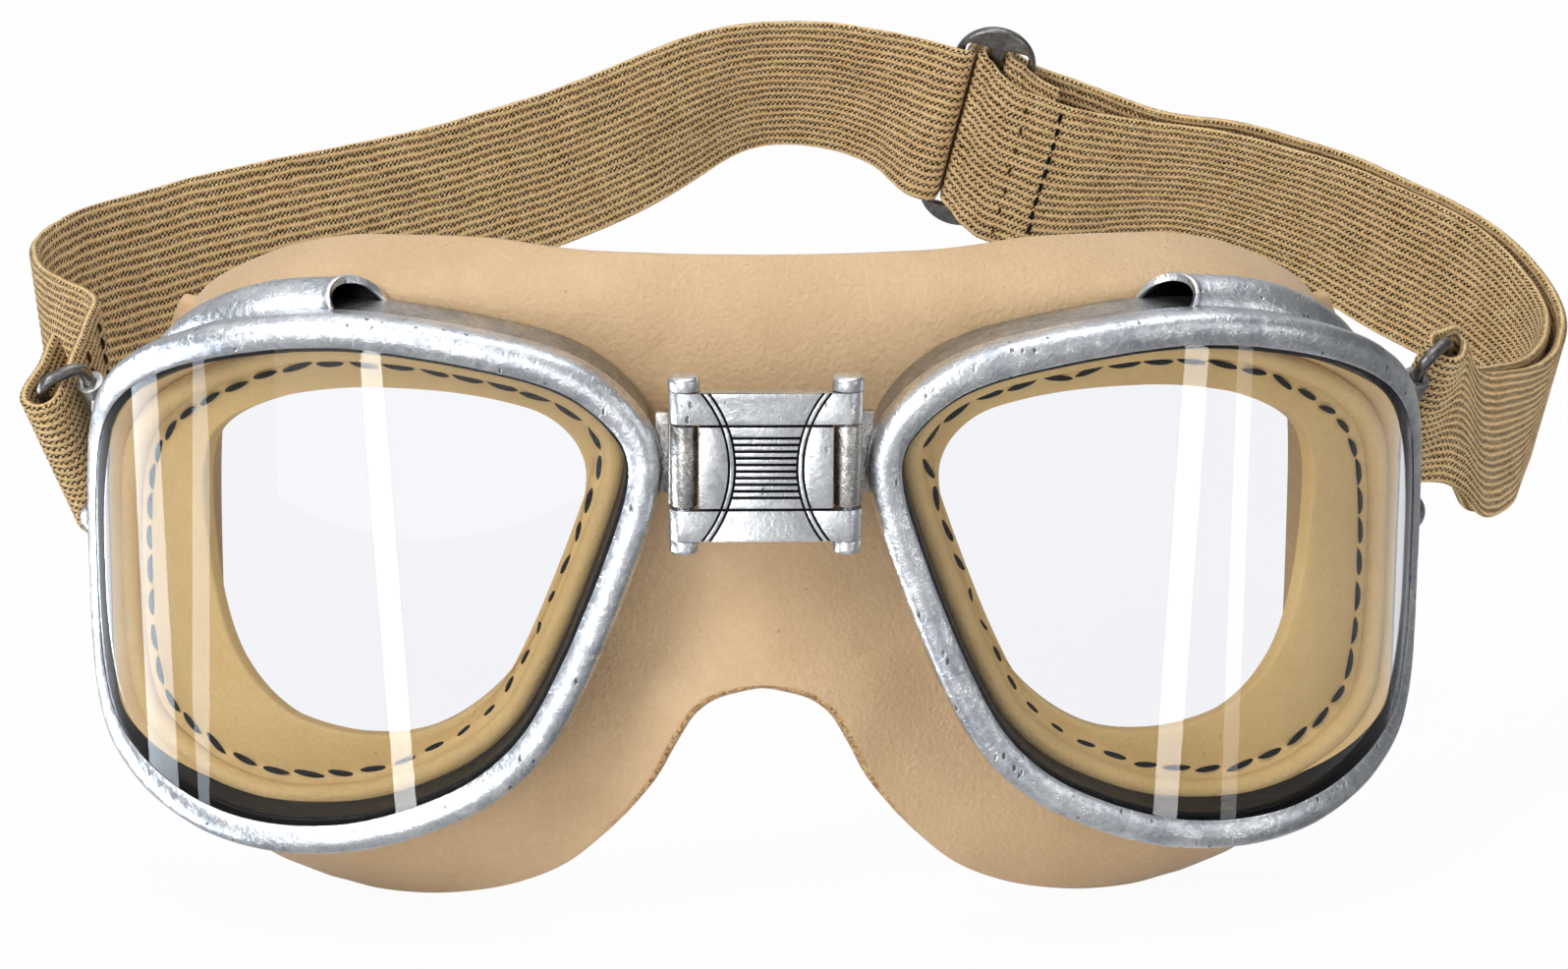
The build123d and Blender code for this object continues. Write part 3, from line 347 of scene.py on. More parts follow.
rubber, tree, shader = new_material("Black rubber", Specular_IOR_Level=0.1)
scuff = grain(put(tree, "TexCoord").outputs["Object"], 0.0015, 4.0, 0.6, 1.0)
scuffed = ramp(scuff, [(0.4, seen(4, 4, 5)), (0.75, seen(13, 14, 17))])
coat(shader, scuffed, remap(scuff, 0.3, 0.7, 0.28, 0.46), scuff, 0.0002, 0.3)
print("soft finishes:", webbing.name, black_thread.name, brown_thread.name, rubber.name)

# %% [markdown]
# The lens is clear sheet plastic that mirrors only a little. Real glass in a renderer blocks lamps, which
# would leave the leather behind it black, so for rays that come from lamps or go between matt surfaces the
# material steps aside for a Transparent shader.

# %% Lens finish
clear, tree, shader = new_material("Clear lens", Transmission_Weight=1.0, IOR=1.25, Roughness=0.0)
shader.inputs["Base Color"].default_value = seen(244, 245, 249)
haze = grain(put(tree, "TexCoord").outputs["Object"], 0.012, 3.0, 0.6)
feed(shader.inputs["Roughness"], remap(haze, 0.45, 0.75, 0.0, 0.03))
through = put(tree, "BsdfTransparent", {"Color": (0.96, 0.965, 0.97, 1.0)})
rays = put(tree, "LightPath")
lets_through = larger(rays.outputs["Is Shadow Ray"], rays.outputs["Is Diffuse Ray"])
choice = either(lets_through, shader, through)
feed(tree.nodes["Material Output"].inputs["Surface"], choice.outputs["Shader"])
print("lens finish:", clear.name)

# %% [markdown]
# The shapes share a few helpers. Outlines are short lists of points, as shares of the cup's size, made
# smooth and evenly spaced. `wrap` bends flat cup coordinates (along, up, out) round the lens's plan curve.
# `lay` starts from a flat grid primitive and lays it over rows of places, which suits leather and webbing,
# because both start as flat goods too. `twins` does that for the right cup and mirrors it for the left one.

# %% Helpers for shapes
cup_length, cup_height = 86.5, 68.4
front_share, temple_turn = 0.5665, 1.136
front_length = cup_length * front_share
lens_start, lens_forward, front_radius = 11.3, 15.0, 150.0
temple_radius = (cup_length - front_length) / temple_turn
centre_along, centre_up = cup_length * 0.4855, -18.0


def wrap(along, up, out):
    """Cup coordinates in millimetres to places in metres."""
    along, up, out = np.broadcast_arrays(np.asarray(along, float), up, out)
    turn_front = np.minimum(along, front_length) / front_radius
    turn = turn_front + np.maximum(along - front_length, 0.0) / temple_radius
    x = lens_start + front_radius * np.sin(turn_front) + temple_radius * (np.sin(turn) - np.sin(turn_front))
    y = -lens_forward + front_radius * (1 - np.cos(turn_front))
    y = y + temple_radius * (np.cos(turn_front) - np.cos(turn))
    return np.stack([x + out * np.sin(turn), y - out * np.cos(turn), up], -1) * mm


def directions(vectors):
    """Vectors made one long."""
    return vectors / np.maximum(np.linalg.norm(vectors, axis=-1, keepdims=True), 1e-12)


def steps_round(places, axis=0):
    """From the place before to the place after, for places that go round."""
    return np.roll(places, -1, axis) - np.roll(places, 1, axis)


def marks_along(line):
    """How far along a line each of its points is."""
    return np.concatenate([[0], np.cumsum(np.linalg.norm(np.diff(line, axis=0), axis=1))])


def noise_at(places):
    return np.array([noise.noise(Vector(place)) for place in places])


def spline(points, count, closed=True):
    """A smooth line through the points, resampled to evenly spaced ones."""
    p = np.asarray(points, float)
    if closed:
        p = np.vstack([p[-1:], p, p[:2]])
    else:
        p = np.vstack([2 * p[0] - p[1], p, 2 * p[-1] - p[-2]])
    t = np.linspace(0, 1, 24, endpoint=False)[:, None]
    runs = []
    for a, b, c, d in zip(p, p[1:], p[2:], p[3:]):
        bend = (2 * a - 5 * b + 4 * c - d) * t ** 2 + (3 * b - a - 3 * c + d) * t ** 3
        runs.append(0.5 * (2 * b + (c - a) * t + bend))
    line = np.vstack(runs + [p[1:2] if closed else p[-2:-1]])
    far = marks_along(line)
    at = np.linspace(0, far[-1], count + 1 if closed else count)
    even = np.stack([np.interp(at, far, line[:, k]) for k in range(line.shape[1])], -1)
    return even[:-1] if closed else even


def faired(loop, passes):
    """A closed loop with its small kinks smoothed away."""
    for _ in range(passes):
        loop = loop * 0.5 + (np.roll(loop, 1, 0) + np.roll(loop, -1, 0)) * 0.25
    return loop


def inset(loop, amount):
    """A closed loop moved inwards in its own plane; the first two values of a point are its place."""
    ahead = directions(steps_round(loop)[:, :2])
    moved = loop.copy()
    moved[:, 0] += np.asarray(amount) * ahead[:, 1]
    moved[:, 1] -= np.asarray(amount) * ahead[:, 0]
    return moved


def skin(loop, out, drop=0.0):
    """A loop's places on the cup at a depth behind the lens, or at a depth for each point."""
    return wrap(loop[:, 0], loop[:, 1] - drop, out)


def swept(section, loop):
    """Places of a section (inset, out) swept round a loop: one row for each point of the loop."""
    return np.stack([skin(inset(loop, inward), out) for inward, out in section], 1)


def eased(value, low=0.0, high=1.0):
    """From 0 to 1 between low and high, without a corner at either end."""
    t = np.clip((value - low) / (high - low), 0, 1)
    return t * t * (3 - 2 * t)


def turns_of(loop):
    return np.unwrap(np.arctan2(loop[:, 1] - centre_up, loop[:, 0] - centre_along))


def at_turns(loop, turns):
    """The loop's points in the given directions from the cup's centre."""
    own = turns_of(loop)
    order = np.argsort(own % (2 * math.pi))
    own, loop = (own % (2 * math.pi))[order], loop[order]
    own = np.concatenate([own[-1:] - 2 * math.pi, own, own[:1] + 2 * math.pi])
    loop = np.vstack([loop[-1:], loop, loop[:1]])
    wanted = np.asarray(turns) % (2 * math.pi)
    return np.stack([np.interp(wanted, own, loop[:, k]) for k in range(loop.shape[1])], -1)


def bumps(places, size, seed=0.0):
    """Smooth noise from -1 to 1 at each place, its features about size metres across."""
    return noise_at(places.reshape(-1, 3) / size + seed).reshape(places.shape[:-1])


def dented(places, *waves):
    """Places moved along the surface's normal by noise; a wave is a size in m, a depth in mm and a seed."""
    facing = directions(np.cross(steps_round(places), steps_round(places, 1)))
    amount = sum(bumps(places, size, seed) * depth for size, depth, seed in waves) * mm
    return places + facing * amount[..., None]


def select(*pieces):
    """Only these pieces selected, and the last of them active."""
    bpy.ops.object.select_all(action="DESELECT")
    for piece in pieces:
        piece.select_set(True)
    bpy.context.view_layer.objects.active = pieces[-1]


def finish_mesh(piece, name, material, angle=40):
    piece.name = piece.data.name = name
    piece.data.materials.clear()
    piece.data.materials.append(material)
    select(piece)
    bpy.ops.object.shade_smooth_by_angle(angle=math.radians(angle))
    print(name, len(piece.data.polygons), "faces")
    return piece


def lay(name, places, material, slot, close_rows=True, close_columns=True, uv=None, angle=40, marks=None):
    """A grid primitive laid over rows of places, its edges sewn together where it closes on itself."""
    rows, columns = places.shape[:2]
    wide, long = columns - (0 if close_columns else 1), rows - (0 if close_rows else 1)
    bpy.ops.mesh.primitive_grid_add(x_subdivisions=wide, y_subdivisions=long, size=1.0)
    piece = bpy.context.object
    mesh = piece.data
    flat = np.empty(len(mesh.vertices) * 3)
    mesh.vertices.foreach_get("co", flat)
    flat = flat.reshape(-1, 3)
    i = np.rint((flat[:, 0] + 0.5) * wide).astype(int)
    j = np.rint((flat[:, 1] + 0.5) * long).astype(int)
    if uv is not None:
        corner = np.empty(len(mesh.loops), int)
        mesh.loops.foreach_get("vertex_index", corner)
        mesh.uv_layers[0].data.foreach_set("uv", uv[j[corner], i[corner]].astype(np.float32).ravel())
        mesh.uv_layers[0].name = "UVMap"
    if marks is not None:
        kept = mesh.attributes.new(marks[0], "FLOAT", "POINT")
        kept.data.foreach_set("value", marks[1][j % rows, i % columns].astype(np.float32))
    mesh.vertices.foreach_set("co", places[j % rows, i % columns].ravel())
    mesh.update()
    bpy.ops.object.mode_set(mode="EDIT")
    bpy.ops.mesh.select_all(action="SELECT")
    bpy.ops.mesh.remove_doubles(threshold=1e-7)
    bpy.ops.mesh.normals_make_consistent(inside=False)
    bpy.ops.object.mode_set(mode="OBJECT")
    return finish_mesh(piece, name, material, angle)


def twins(name, places, material, slot, nodes_replaced, shared=None, fill=None, **how):
    """A piece of the right cup and its mirror twin; each rides its cup, except one that crosses the nose."""
    right = lay(name + "_right", places, material, slot, **how)
    left = right.copy()
    left.data = right.data.copy()
    bpy.context.collection.objects.link(left)
    left.name = left.data.name = name + "_left"
    left.data.transform(Matrix.Diagonal((-1, 1, 1, 1)))
    left.data.flip_normals()
    for piece, side, flip in ((right, "right", 1), (left, "left", -1)):
        own = [node + side for node in nodes_replaced]
        if shared:
            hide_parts(*own, shared)
            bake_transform(piece)
        else:
            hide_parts(*own)
            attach(piece, side + "_cup")


print("shape helpers ready; temple radius", round(temple_radius, 2), "mm")

# %% [markdown]
# Outlines of one cup: the rim's outer edge, the eye opening and the mask's free edge. Places along the lens
# are shares of its length and heights are shares of its height. The mask's third value is how far behind the
# frame its edge lies, in centimetres.

# %% Outlines
rim_shares = [
    (0.009, -0.015), (0.018, 0.041), (0.035, 0.077), (0.065, 0.120), (0.113, 0.164), (0.173, 0.194),
    (0.237, 0.212), (0.301, 0.225), (0.370, 0.235), (0.439, 0.240), (0.509, 0.235), (0.578, 0.222),
    (0.647, 0.200), (0.717, 0.168), (0.786, 0.126), (0.855, 0.070), (0.918, -0.003), (0.966, -0.095),
    (0.994, -0.212), (1.000, -0.336), (0.990, -0.456), (0.955, -0.561), (0.902, -0.632), (0.832, -0.677),
    (0.763, -0.711), (0.694, -0.737), (0.624, -0.754), (0.555, -0.760), (0.486, -0.754), (0.416, -0.737),
    (0.341, -0.703), (0.260, -0.651), (0.200, -0.589), (0.154, -0.515), (0.109, -0.404), (0.071, -0.287),
    (0.040, -0.180), (0.017, -0.088),
]
eye_shares = [
    (0.121, -0.083), (0.126, -0.034), (0.147, 0.007), (0.185, 0.041), (0.243, 0.061), (0.318, 0.073),
    (0.393, 0.076), (0.467, 0.072), (0.543, 0.057), (0.618, 0.032), (0.689, -0.004), (0.731, -0.050),
    (0.746, -0.124), (0.742, -0.227), (0.725, -0.336), (0.692, -0.431), (0.639, -0.500), (0.570, -0.548),
    (0.497, -0.569), (0.430, -0.570), (0.364, -0.554), (0.304, -0.515), (0.247, -0.453), (0.202, -0.376),
    (0.164, -0.285), (0.136, -0.183),
]
mask_shares = [
    (-0.038, 0.317, 0.350),
    (0.058, 0.319, 0.400), (0.127, 0.319, 0.500), (0.197, 0.323, 0.600), (0.266, 0.329, 0.700),
    (0.347, 0.327, 0.800), (0.428, 0.321, 0.900), (0.509, 0.314, 0.950), (0.578, 0.301, 0.950),
    (0.649, 0.291, 0.930), (0.747, 0.272, 0.850), (0.859, 0.236, 0.620), (0.950, 0.190, 0.350),
    (1.030, 0.125, 0.120), (1.090, 0.040, -0.040), (1.130, -0.070, -0.120), (1.155, -0.200, -0.170),
    (1.165, -0.360, -0.180), (1.155, -0.500, -0.150), (1.120, -0.630, -0.060), (1.060, -0.735, 0.100),
    (0.980, -0.818, 0.320), (0.885, -0.871, 0.570), (0.790, -0.898, 0.770), (0.675, -0.909, 0.850),
    (0.561, -0.924, 0.900), (0.479, -0.933, 0.850), (0.383, -0.926, 0.750), (0.289, -0.899, 0.550),
    (0.214, -0.862, 0.350), (0.156, -0.817, 0.150), (0.105, -0.758, -0.020), (0.062, -0.695, -0.200),
    (0.023, -0.626, -0.360), (-0.004, -0.554, -0.520), (-0.029, -0.497, -0.650),
]
size = np.array([cup_length, cup_height])
rim_loop = faired(spline(np.array(rim_shares) * size, 360), 6)
eye_loop = faired(spline(np.array(eye_shares) * size, 360), 6)
print("rim outline", round(marks_along(rim_loop)[-1]), "mm round")

# %% [markdown]
# The front rim is a rounded metal channel. On the real thing it is rolled from sheet and then cast over, so
# its front is softly domed and full of shallow dents. A section of a few points is swept round the outline,
# and slow noise moves the surface by a few hundredths of a millimetre, which breaks up the reflections.

# %% Front rims
rim_front_line = spline([(0.0, -2.2), (0.0, -1.0), (0.03, -0.1), (0.28, 0.78), (0.85, 1.38), (1.7, 1.68),
                         (2.6, 1.62), (3.3, 1.38), (3.75, 1.16), (3.9, 0.98)], 22, closed=False)
rim_back_line = [(3.6, 0.95), (2.4, 0.95), (0.85, 0.95), (0.8, -0.6), (0.8, -2.2)]
places = swept([tuple(p) for p in rim_front_line] + rim_back_line, rim_loop)
places = dented(places, (0.006, 0.05, 0.0), (0.0022, 0.025, 7.0))
twins("front_rim", places, pewter, "pewter", ["rim_"], angle=50)

# %% [markdown]
# Behind the rim stands the frame, a duller metal wall with a flange turned in at its back. On top of the cup
# the wall flares out by half a millimetre and ends in a soft lip over the leather. The flare follows the
# outline's own direction, so it fades out where the outline turns down.

# %% Rear frames
faces_up = directions(steps_round(rim_loop))[:, 0]
flare = eased(faces_up, 0.15, 0.5)
frame_section = [(0.9, 0.0, -0.95), (0.9, 0.0, -2.4), (0.9, 0.08, -4.0), (0.9, 0.18, -5.7), (0.9, 0.3, -7.4),
                 (0.9, 0.42, -8.9), (0.92, 0.48, -9.5), (1.0, 0.46, -9.95), (1.3, 0.4, -10.3),
                 (5.2, 0.0, -10.3), (5.2, 0.0, -9.6), (1.8, 0.0, -9.6), (1.8, 0.0, -0.95)]
places = swept([(inward - spread * flare, out) for inward, spread, out in frame_section], rim_loop)
places = dented(places, (0.007, 0.05, 4.0), (0.002, 0.02, 6.0))
twins("rear_frame", places, pewter_dull, "pewter_dull", ["frame_"], angle=50)

# %% [markdown]
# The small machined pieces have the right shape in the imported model. It arrives as loose flat triangles, so a
# copy is merged, gets a fine bevel, because a real edge always catches a line of light, and is shaded smooth.
# Dirt stays in engraved lines, so the bridge's deeper places are marked with an attribute named `dark`.

# %% Metal pieces taken over from the model
def dressed(node, name, material, bevel=0.0, darkening=None):
    source = nodes[node]
    piece = source.copy()
    piece.data = source.data.copy()
    piece.parent = None
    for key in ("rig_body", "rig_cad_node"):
        if key in piece:
            del piece[key]
    bpy.context.collection.objects.link(piece)
    select(piece)
    bpy.ops.object.mode_set(mode="EDIT")
    bpy.ops.mesh.select_all(action="SELECT")
    bpy.ops.mesh.remove_doubles(threshold=2e-6)
    if bevel:
        bpy.ops.mesh.dissolve_limited(angle_limit=math.radians(1.0))
    bpy.ops.object.mode_set(mode="OBJECT")
    if bevel:
        soft = piece.modifiers.new("Edges", "BEVEL")
        soft.width, soft.segments = bevel * mm, 2
        soft.limit_method, soft.angle_limit = "ANGLE", math.radians(35)
        soft.use_clamp_overlap = True
        bpy.ops.object.modifier_apply(modifier="Edges")
    if darkening:
        front, depth, reach = darkening
        kept = piece.data.attributes.new("dark", "FLOAT", "POINT")
        for v, mark in zip(piece.data.vertices, kept.data):
            engraved = depth * 0.6 < v.co.y / mm - front < depth * 1.4 and abs(v.co.x) < reach * mm
            mark.value = 1.0 if engraved else 0.0
    finish_mesh(piece, name, material, 35)
    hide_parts(node)
    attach(piece, source["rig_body"])


for side in ("right", "left"):
    dressed("knuckle_" + side, "hinge_knuckle_" + side, dark_steel, 0.25)
    dressed("hinge_pin_" + side, "headed_pin_" + side, bridge_metal, 0.2)
    dressed("pin_foot_" + side, "riveted_foot_" + side, bridge_metal, 0.2)
    dressed("lug_" + side, "temple_lug_" + side, pewter_dull, 0.12)
    dressed("temple_screw_" + side, "domed_screw_" + side, dark_steel, 0.1)
    dressed("temple_nut_" + side, "screw_nut_" + side, dark_steel, 0.12)
    dressed("ring_" + side, "wire_ring_" + side, gunmetal)
dressed("bridge_plate", "bridge", bridge_metal, 0.05, darkening=(-19.0, 0.3, 9.0))
dressed("slider", "strap_slider", gunmetal, 0.18)

# %% [markdown]
# The vent hood is a tapering half-tube on top of the frame, open towards the nose. Its mouth ends in a
# bright rolled lip. Arcs of points run along it, outside and inside, and the lip swells the first few rows.
# Its inside is marked dark, which paints shade into it.

# %% Vent hoods
frame_top = inset(rim_loop, 0.9)
frame_top = frame_top[frame_top[:, 1] > -8.0]
frame_top = frame_top[np.argsort(frame_top[:, 0])]


def frame_height(along):
    """The frame's top at a place along the lens."""
    return np.interp(along, frame_top[:, 0], frame_top[:, 1])


def above_frame(along, rise):
    """The place that far off the frame's top, square to it."""
    slope = frame_height(along + 0.5) - frame_height(along - 0.5)
    up = rise / np.sqrt(1 + slope ** 2)
    return along - slope * up, frame_height(along) + up


vent_from, vent_to = cup_length * 0.4405, cup_length * 0.9
vent_middle, vent_half, vent_height, foot_height, vent_wall = -6.2, 3.5, 3.5, 0.9, 0.7
arc = np.linspace(0, math.pi, 29)
lift = np.sin(arc)
mouth = vent_from + 2.5 * lift + 2.2 * np.cos(arc)


def hood_line(along, half, height, edge):
    """One arc of the hood; its feet stand on the flaring frame."""
    out = vent_middle + half * np.cos(arc)
    foot = 0.4 * np.clip((-2.4 - out) / 6.6, 0, 1) - edge
    return wrap(*above_frame(along, foot + (height + edge) * lift), out)


rows, marks = [], []
for share in np.concatenate([[0, 0.004, 0.008, 0.013, 0.019, 0.03, 0.05], np.linspace(0.08, 1.0, 40)]):
    along = mouth + (vent_to - mouth) * share
    height = vent_height + (foot_height - vent_height) * share ** 4
    half = vent_half * (1 - share ** 3 / 3)
    lip = 0.2 * math.sqrt(max(1 - ((share - 0.009) / 0.011) ** 2, 0))
    outer = hood_line(along, half + lip, height + lip, 0.15)
    inner_height = height - vent_wall * (1 - share / 2) - lip * 0.6
    inner = hood_line(along, half - vent_wall + 0.3 * lip, inner_height, 0.15)
    rows.append(np.concatenate([outer, inner[::-1]]))
    # The inside rows are marked dark from just behind the lip: painted shade inside the hood.
    marks.append(np.concatenate([np.zeros(len(arc)), np.full(len(arc), min(share / 0.016, 1.0))]))
rows, marks = np.array(rows), np.array(marks)
middle = (rows + rows[:, ::-1]) / 2
places = dented(np.concatenate([middle[:1], rows, middle[-1:]]), (0.005, 0.05, 3.0))
marks = np.concatenate([marks[:1], marks, marks[-1:]])
twins("vent_hood", places, pewter, "pewter", ["vent_"], close_rows=False, angle=55, marks=("dark", marks))

# %% [markdown]
# The lens is one curved sheet. Its reflections show every kink, so its rows follow the plan curve exactly and
# its two faces are joined at the hidden edge under the rim.

# %% Lenses
lens_edge = inset(rim_loop, 1.1)
lens_edge = lens_edge[np.argsort(lens_edge[:, 0])]
low_along, high_along = lens_edge[0, 0] + 0.5, lens_edge[-1, 0] - 0.5
on_top = lens_edge[:, 1] > np.interp(lens_edge[:, 0], [low_along, high_along], [-1.0, -23.0])
alongs = low_along + (high_along - low_along) * (1 - np.cos(np.linspace(0, math.pi, 140))) / 2
tops = np.interp(alongs, lens_edge[on_top, 0], lens_edge[on_top, 1])
feet = np.interp(alongs, lens_edge[~on_top, 0], lens_edge[~on_top, 1])
heights = feet[:, None] + (tops - feet)[:, None] * np.linspace(0, 1, 26)[None, :]
half_lens = 0.9
front, back_face = (wrap(alongs[:, None], heights, out) for out in (half_lens, -half_lens))
places = np.concatenate([front, back_face[:, ::-1]], 1)
middle = (places + places[:, ::-1]) / 2
places = np.concatenate([middle[:1], places, middle[-1:]])
twins("clear_lens", places, clear, "lens_clear", ["lens_"], close_rows=False, angle=30)

# %% [markdown]
# The gasket is a black rubber ring. Its front shows as a thin line beyond the rim. Below the lens its inner
# wall shows too, as a broad black band over the leather bead; round the temple the leather covers it.

# %% Gaskets
off_temple = np.abs((turns_of(rim_loop) + math.pi) % (2 * math.pi) - math.pi)
temple_share = eased(math.radians(82) - off_temple, 0.0, math.radians(50))
black_edge = 4.3 + 0.5 * np.clip(faces_up, 0, 1) * (1 - temple_share) - 0.22 * temple_share
inner_wall = [(-0.5, -1.0), (-0.1, -1.04), (0, -1.2), (0.03, -1.5), (0.12, -3.0), (0.3, -5.0), (0.4, -6.4),
              (0.2, -6.7)]
gasket_section = [(black_edge + beyond * (1 - temple_share), out) for beyond, out in inner_wall]
gasket_section.insert(0, (1.9, -1.0))
places = dented(swept(gasket_section + [(3.4, -6.7), (1.9, -6.2)], rim_loop), (0.004, 0.03, 12.0))
twins("rubber_gasket", places, rubber, "black_rubber", ["gasket_"], angle=60)

# %% [markdown]
# Inside each cup one piece of leather makes both the rolled bead behind the gasket and the flat panel round
# the eye. It is rolled over a cord, stitched down and turned in at the eye opening. The bead is never quite
# even: it swells, pinches and wanders a little, so slow noise changes its radius along the way.

# %% Leather inside the cups
def temple_rise(along):
    """The panel comes forward round the temple."""
    return 3.6 * eased(along / cup_length, 0.5, 0.92)


def around(turns, pace, seed):
    """Noise round the cup that meets itself where the round closes."""
    return noise_at((math.cos(t) * pace, math.sin(t) * pace, seed) for t in turns)


def inside(loop, depth, drop=0.0):
    """A loop's places at a depth of the inner leather."""
    return skin(loop, depth + temple_rise(loop[:, 0]), drop)


bead_radius, bead_inset, bead_out, bead_drop = 1.4, 5.5, -7.35, 0.7
turns = turns_of(rim_loop)
eye_matched = at_turns(eye_loop, turns)
sway, pinch = around(turns, 2.2, 4.0), around(turns, 9.0, 9.0)
nose_side = np.clip(np.cos(turns - math.radians(215)), 0, 1) ** 2
bead_line = bead_inset + 0.12 * sway + 0.8 * nose_side
radius = bead_radius * (1 + 0.05 * sway + 0.06 * pinch)
skirt_edge = 4.1 * temple_share + 4.9 * (1 - temple_share)
skirt_top = -1.15 * temple_share - 6.9 * (1 - temple_share)
columns = []
for share in (0.0, 0.3, 0.6):
    moved = inset(rim_loop, skirt_edge + (bead_line - radius * 0.9 - skirt_edge) * share)
    foot = bead_out - 0.4 + temple_rise(moved[:, 0])
    columns.append(skin(moved, skirt_top + (foot - skirt_top) * share, bead_drop * share))
for angle in np.radians(np.linspace(200, -40, 22)):
    columns.append(inside(inset(rim_loop, bead_line + radius * math.cos(angle)),
                          bead_out + radius * math.sin(angle), bead_drop))
for beyond, depth in ((1.55, -8.75), (1.85, -9.1), (2.15, -9.18), (2.7, -9.12)):
    drop = bead_drop * (1 - (beyond - 1.55) / 2.5)
    columns.append(inside(inset(rim_loop, bead_line + beyond), depth, drop))
inner_start = inset(rim_loop, bead_line + 2.7)
inner_start[:, 1] -= bead_drop / 2
for share in (0.15, 0.3, 0.45, 0.6, 0.75, 0.88, 0.97):
    flat = inner_start + (eye_matched - inner_start) * share
    columns.append(inside(flat, -9.14 + 0.1 * math.sin(share * math.pi) + 0.1 * pinch * share))
for angle in np.array([0.2, 0.45, 0.75, 1.0]) * math.pi / 2:
    flat = eye_matched + (inner_start - eye_matched) * (0.03 * (1 - math.sin(angle)))
    columns.append(inside(flat, -9.16 - 0.35 * (1 - math.cos(angle))))
columns += [inside(eye_matched, -10.1), inside(eye_matched, -10.72)]
for share in (0.4, 0.8):
    columns.append(inside(eye_matched + (inset(rim_loop, 6.2) - eye_matched) * share, -10.74))
columns += [inside(inset(rim_loop, 5.5), -10.6), inside(inset(rim_loop, 5.5), -9.7)]
places = dented(np.stack(columns, 1), (0.009, 0.07, 5.0))
twins("inner_leather", places, inner_leather, "inner_leather", ["piping_", "eye_panel_"], angle=70)

# %% [markdown]
# The stitches are thick black thread. Each lies on the leather as a small spindle whose ends dive into their
# holes. One is modelled from a cylinder and copied round the seam, each copy a little longer, shorter or
# turned, because the seam was sewn by hand.

# %% Stitches round the eye panels
def spindle(length, radius, sides=10, rings=8):
    """One stitch, lying along X, its ends thin and bent down into their holes."""
    bpy.ops.mesh.primitive_cylinder_add(vertices=sides, radius=radius * mm, depth=length * mm,
                                        rotation=(0, math.pi / 2, 0), end_fill_type="TRIFAN")
    stitch = bpy.context.object
    bpy.ops.object.transform_apply(location=True, rotation=True, scale=True)
    bpy.ops.object.mode_set(mode="EDIT")
    for k in range(1, rings):
        bpy.ops.mesh.select_all(action="SELECT")
        bpy.ops.mesh.bisect(plane_co=((k / rings - 0.5) * length * mm, 0, 0), plane_no=(1, 0, 0))
    bpy.ops.object.mode_set(mode="OBJECT")
    for v in stitch.data.vertices:
        t = min(abs(v.co.x) / (length * mm / 2), 1.0)
        thin = max((1 - t ** 2.4) ** 0.7, 0.15)
        v.co.y *= thin
        v.co.z = v.co.z * thin - radius * mm * 0.6 * t ** 3
    return stitch


def sewn(name, path, facing, length, gap, radius, material, slot, seed, closed=False, wander=0.1):
    """Copies of one stitch laid along a path of places, with the surface's facing at each place."""
    model = spindle(length, radius)
    points = np.vstack([path, path[:1]]) if closed else path
    facings = np.vstack([facing, facing[:1]]) if closed else facing
    far = marks_along(points)
    count = int(far[-1] / ((length + gap) * mm))
    random = np.random.default_rng(seed)
    copies = []
    for k in range(count):
        middle = (k + 0.5) / count * far[-1]
        reach = length * mm / 2
        a, c, b = (np.array([np.interp(middle + d, far, points[:, n]) for n in range(3)])
                   for d in (-reach, 0, reach))
        out = Vector([np.interp(middle, far, facings[:, n]) for n in range(3)]).normalized()
        side = out.cross(Vector(b - a)).normalized()
        ahead = side.cross(out)
        tilt = random.normal(0, wander)
        turned = ahead * math.cos(tilt) + side * math.sin(tilt)
        side = out.cross(turned)
        stretch = 1 + random.normal(0, 0.06)
        basis = Matrix((turned * stretch, side, out)).transposed().to_4x4()
        copy = model.copy()
        copy.data = model.data.copy()
        bpy.context.collection.objects.link(copy)
        copy.data.transform(Matrix.Translation(Vector(c) + side * random.normal(0, 0.08) * mm) @ basis)
        copies.append(copy)
    bpy.data.objects.remove(model)
    select(*reversed(copies))
    bpy.ops.object.join()
    return finish_mesh(bpy.context.object, name, material, 60)


seam = inset(rim_loop, bead_line + 2.0 + 0.4 * np.clip(faces_up, 0, 1))
seam[:, 1] -= 0.55
path = inside(seam, -8.93 - 0.5 * nose_side)
facing = inside(seam, -7.93 - 0.5 * nose_side) - path
for side, flip in (("right", 1), ("left", -1)):
    mirror = np.array([flip, 1, 1])
    piece = sewn("panel_stitches_" + side, path * mirror, facing * mirror, 4.0, 0.2, 0.37, black_thread,
                 "thread_black", 11 + flip, closed=True, wander=0.14)
    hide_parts("stitching_" + side)
    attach(piece, side + "_cup")

# %% [markdown]
# The mask is one soft hide that starts under the frames, swells a little and rolls back to a free edge. It
# crosses the nose, where it flares forward over the notch. A hinge at each pin bends it, so it is made in
# two halves that meet exactly on the middle line. Spokes run from the frame's shoulder to the edge; the row
# at the edge turns over in a small round, squarer at the notch, where the leather was cut.

# %% Mask edge and middle line
mask_front, mask_thickness, edge_round = -10.45, 1.5, 0.72


def to_cup(x, y):
    """Cup coordinates (along, out) of a place in front of the nose, in millimetres."""
    reach = math.hypot(x - lens_start, front_radius - lens_forward - y)
    return front_radius * math.atan2(x - lens_start, front_radius - lens_forward - y), reach - front_radius


def nose_point(x, up_share, depth):
    along, out = to_cup(x, -lens_forward - mask_front + depth * 10)
    return (along, up_share * cup_height, out)


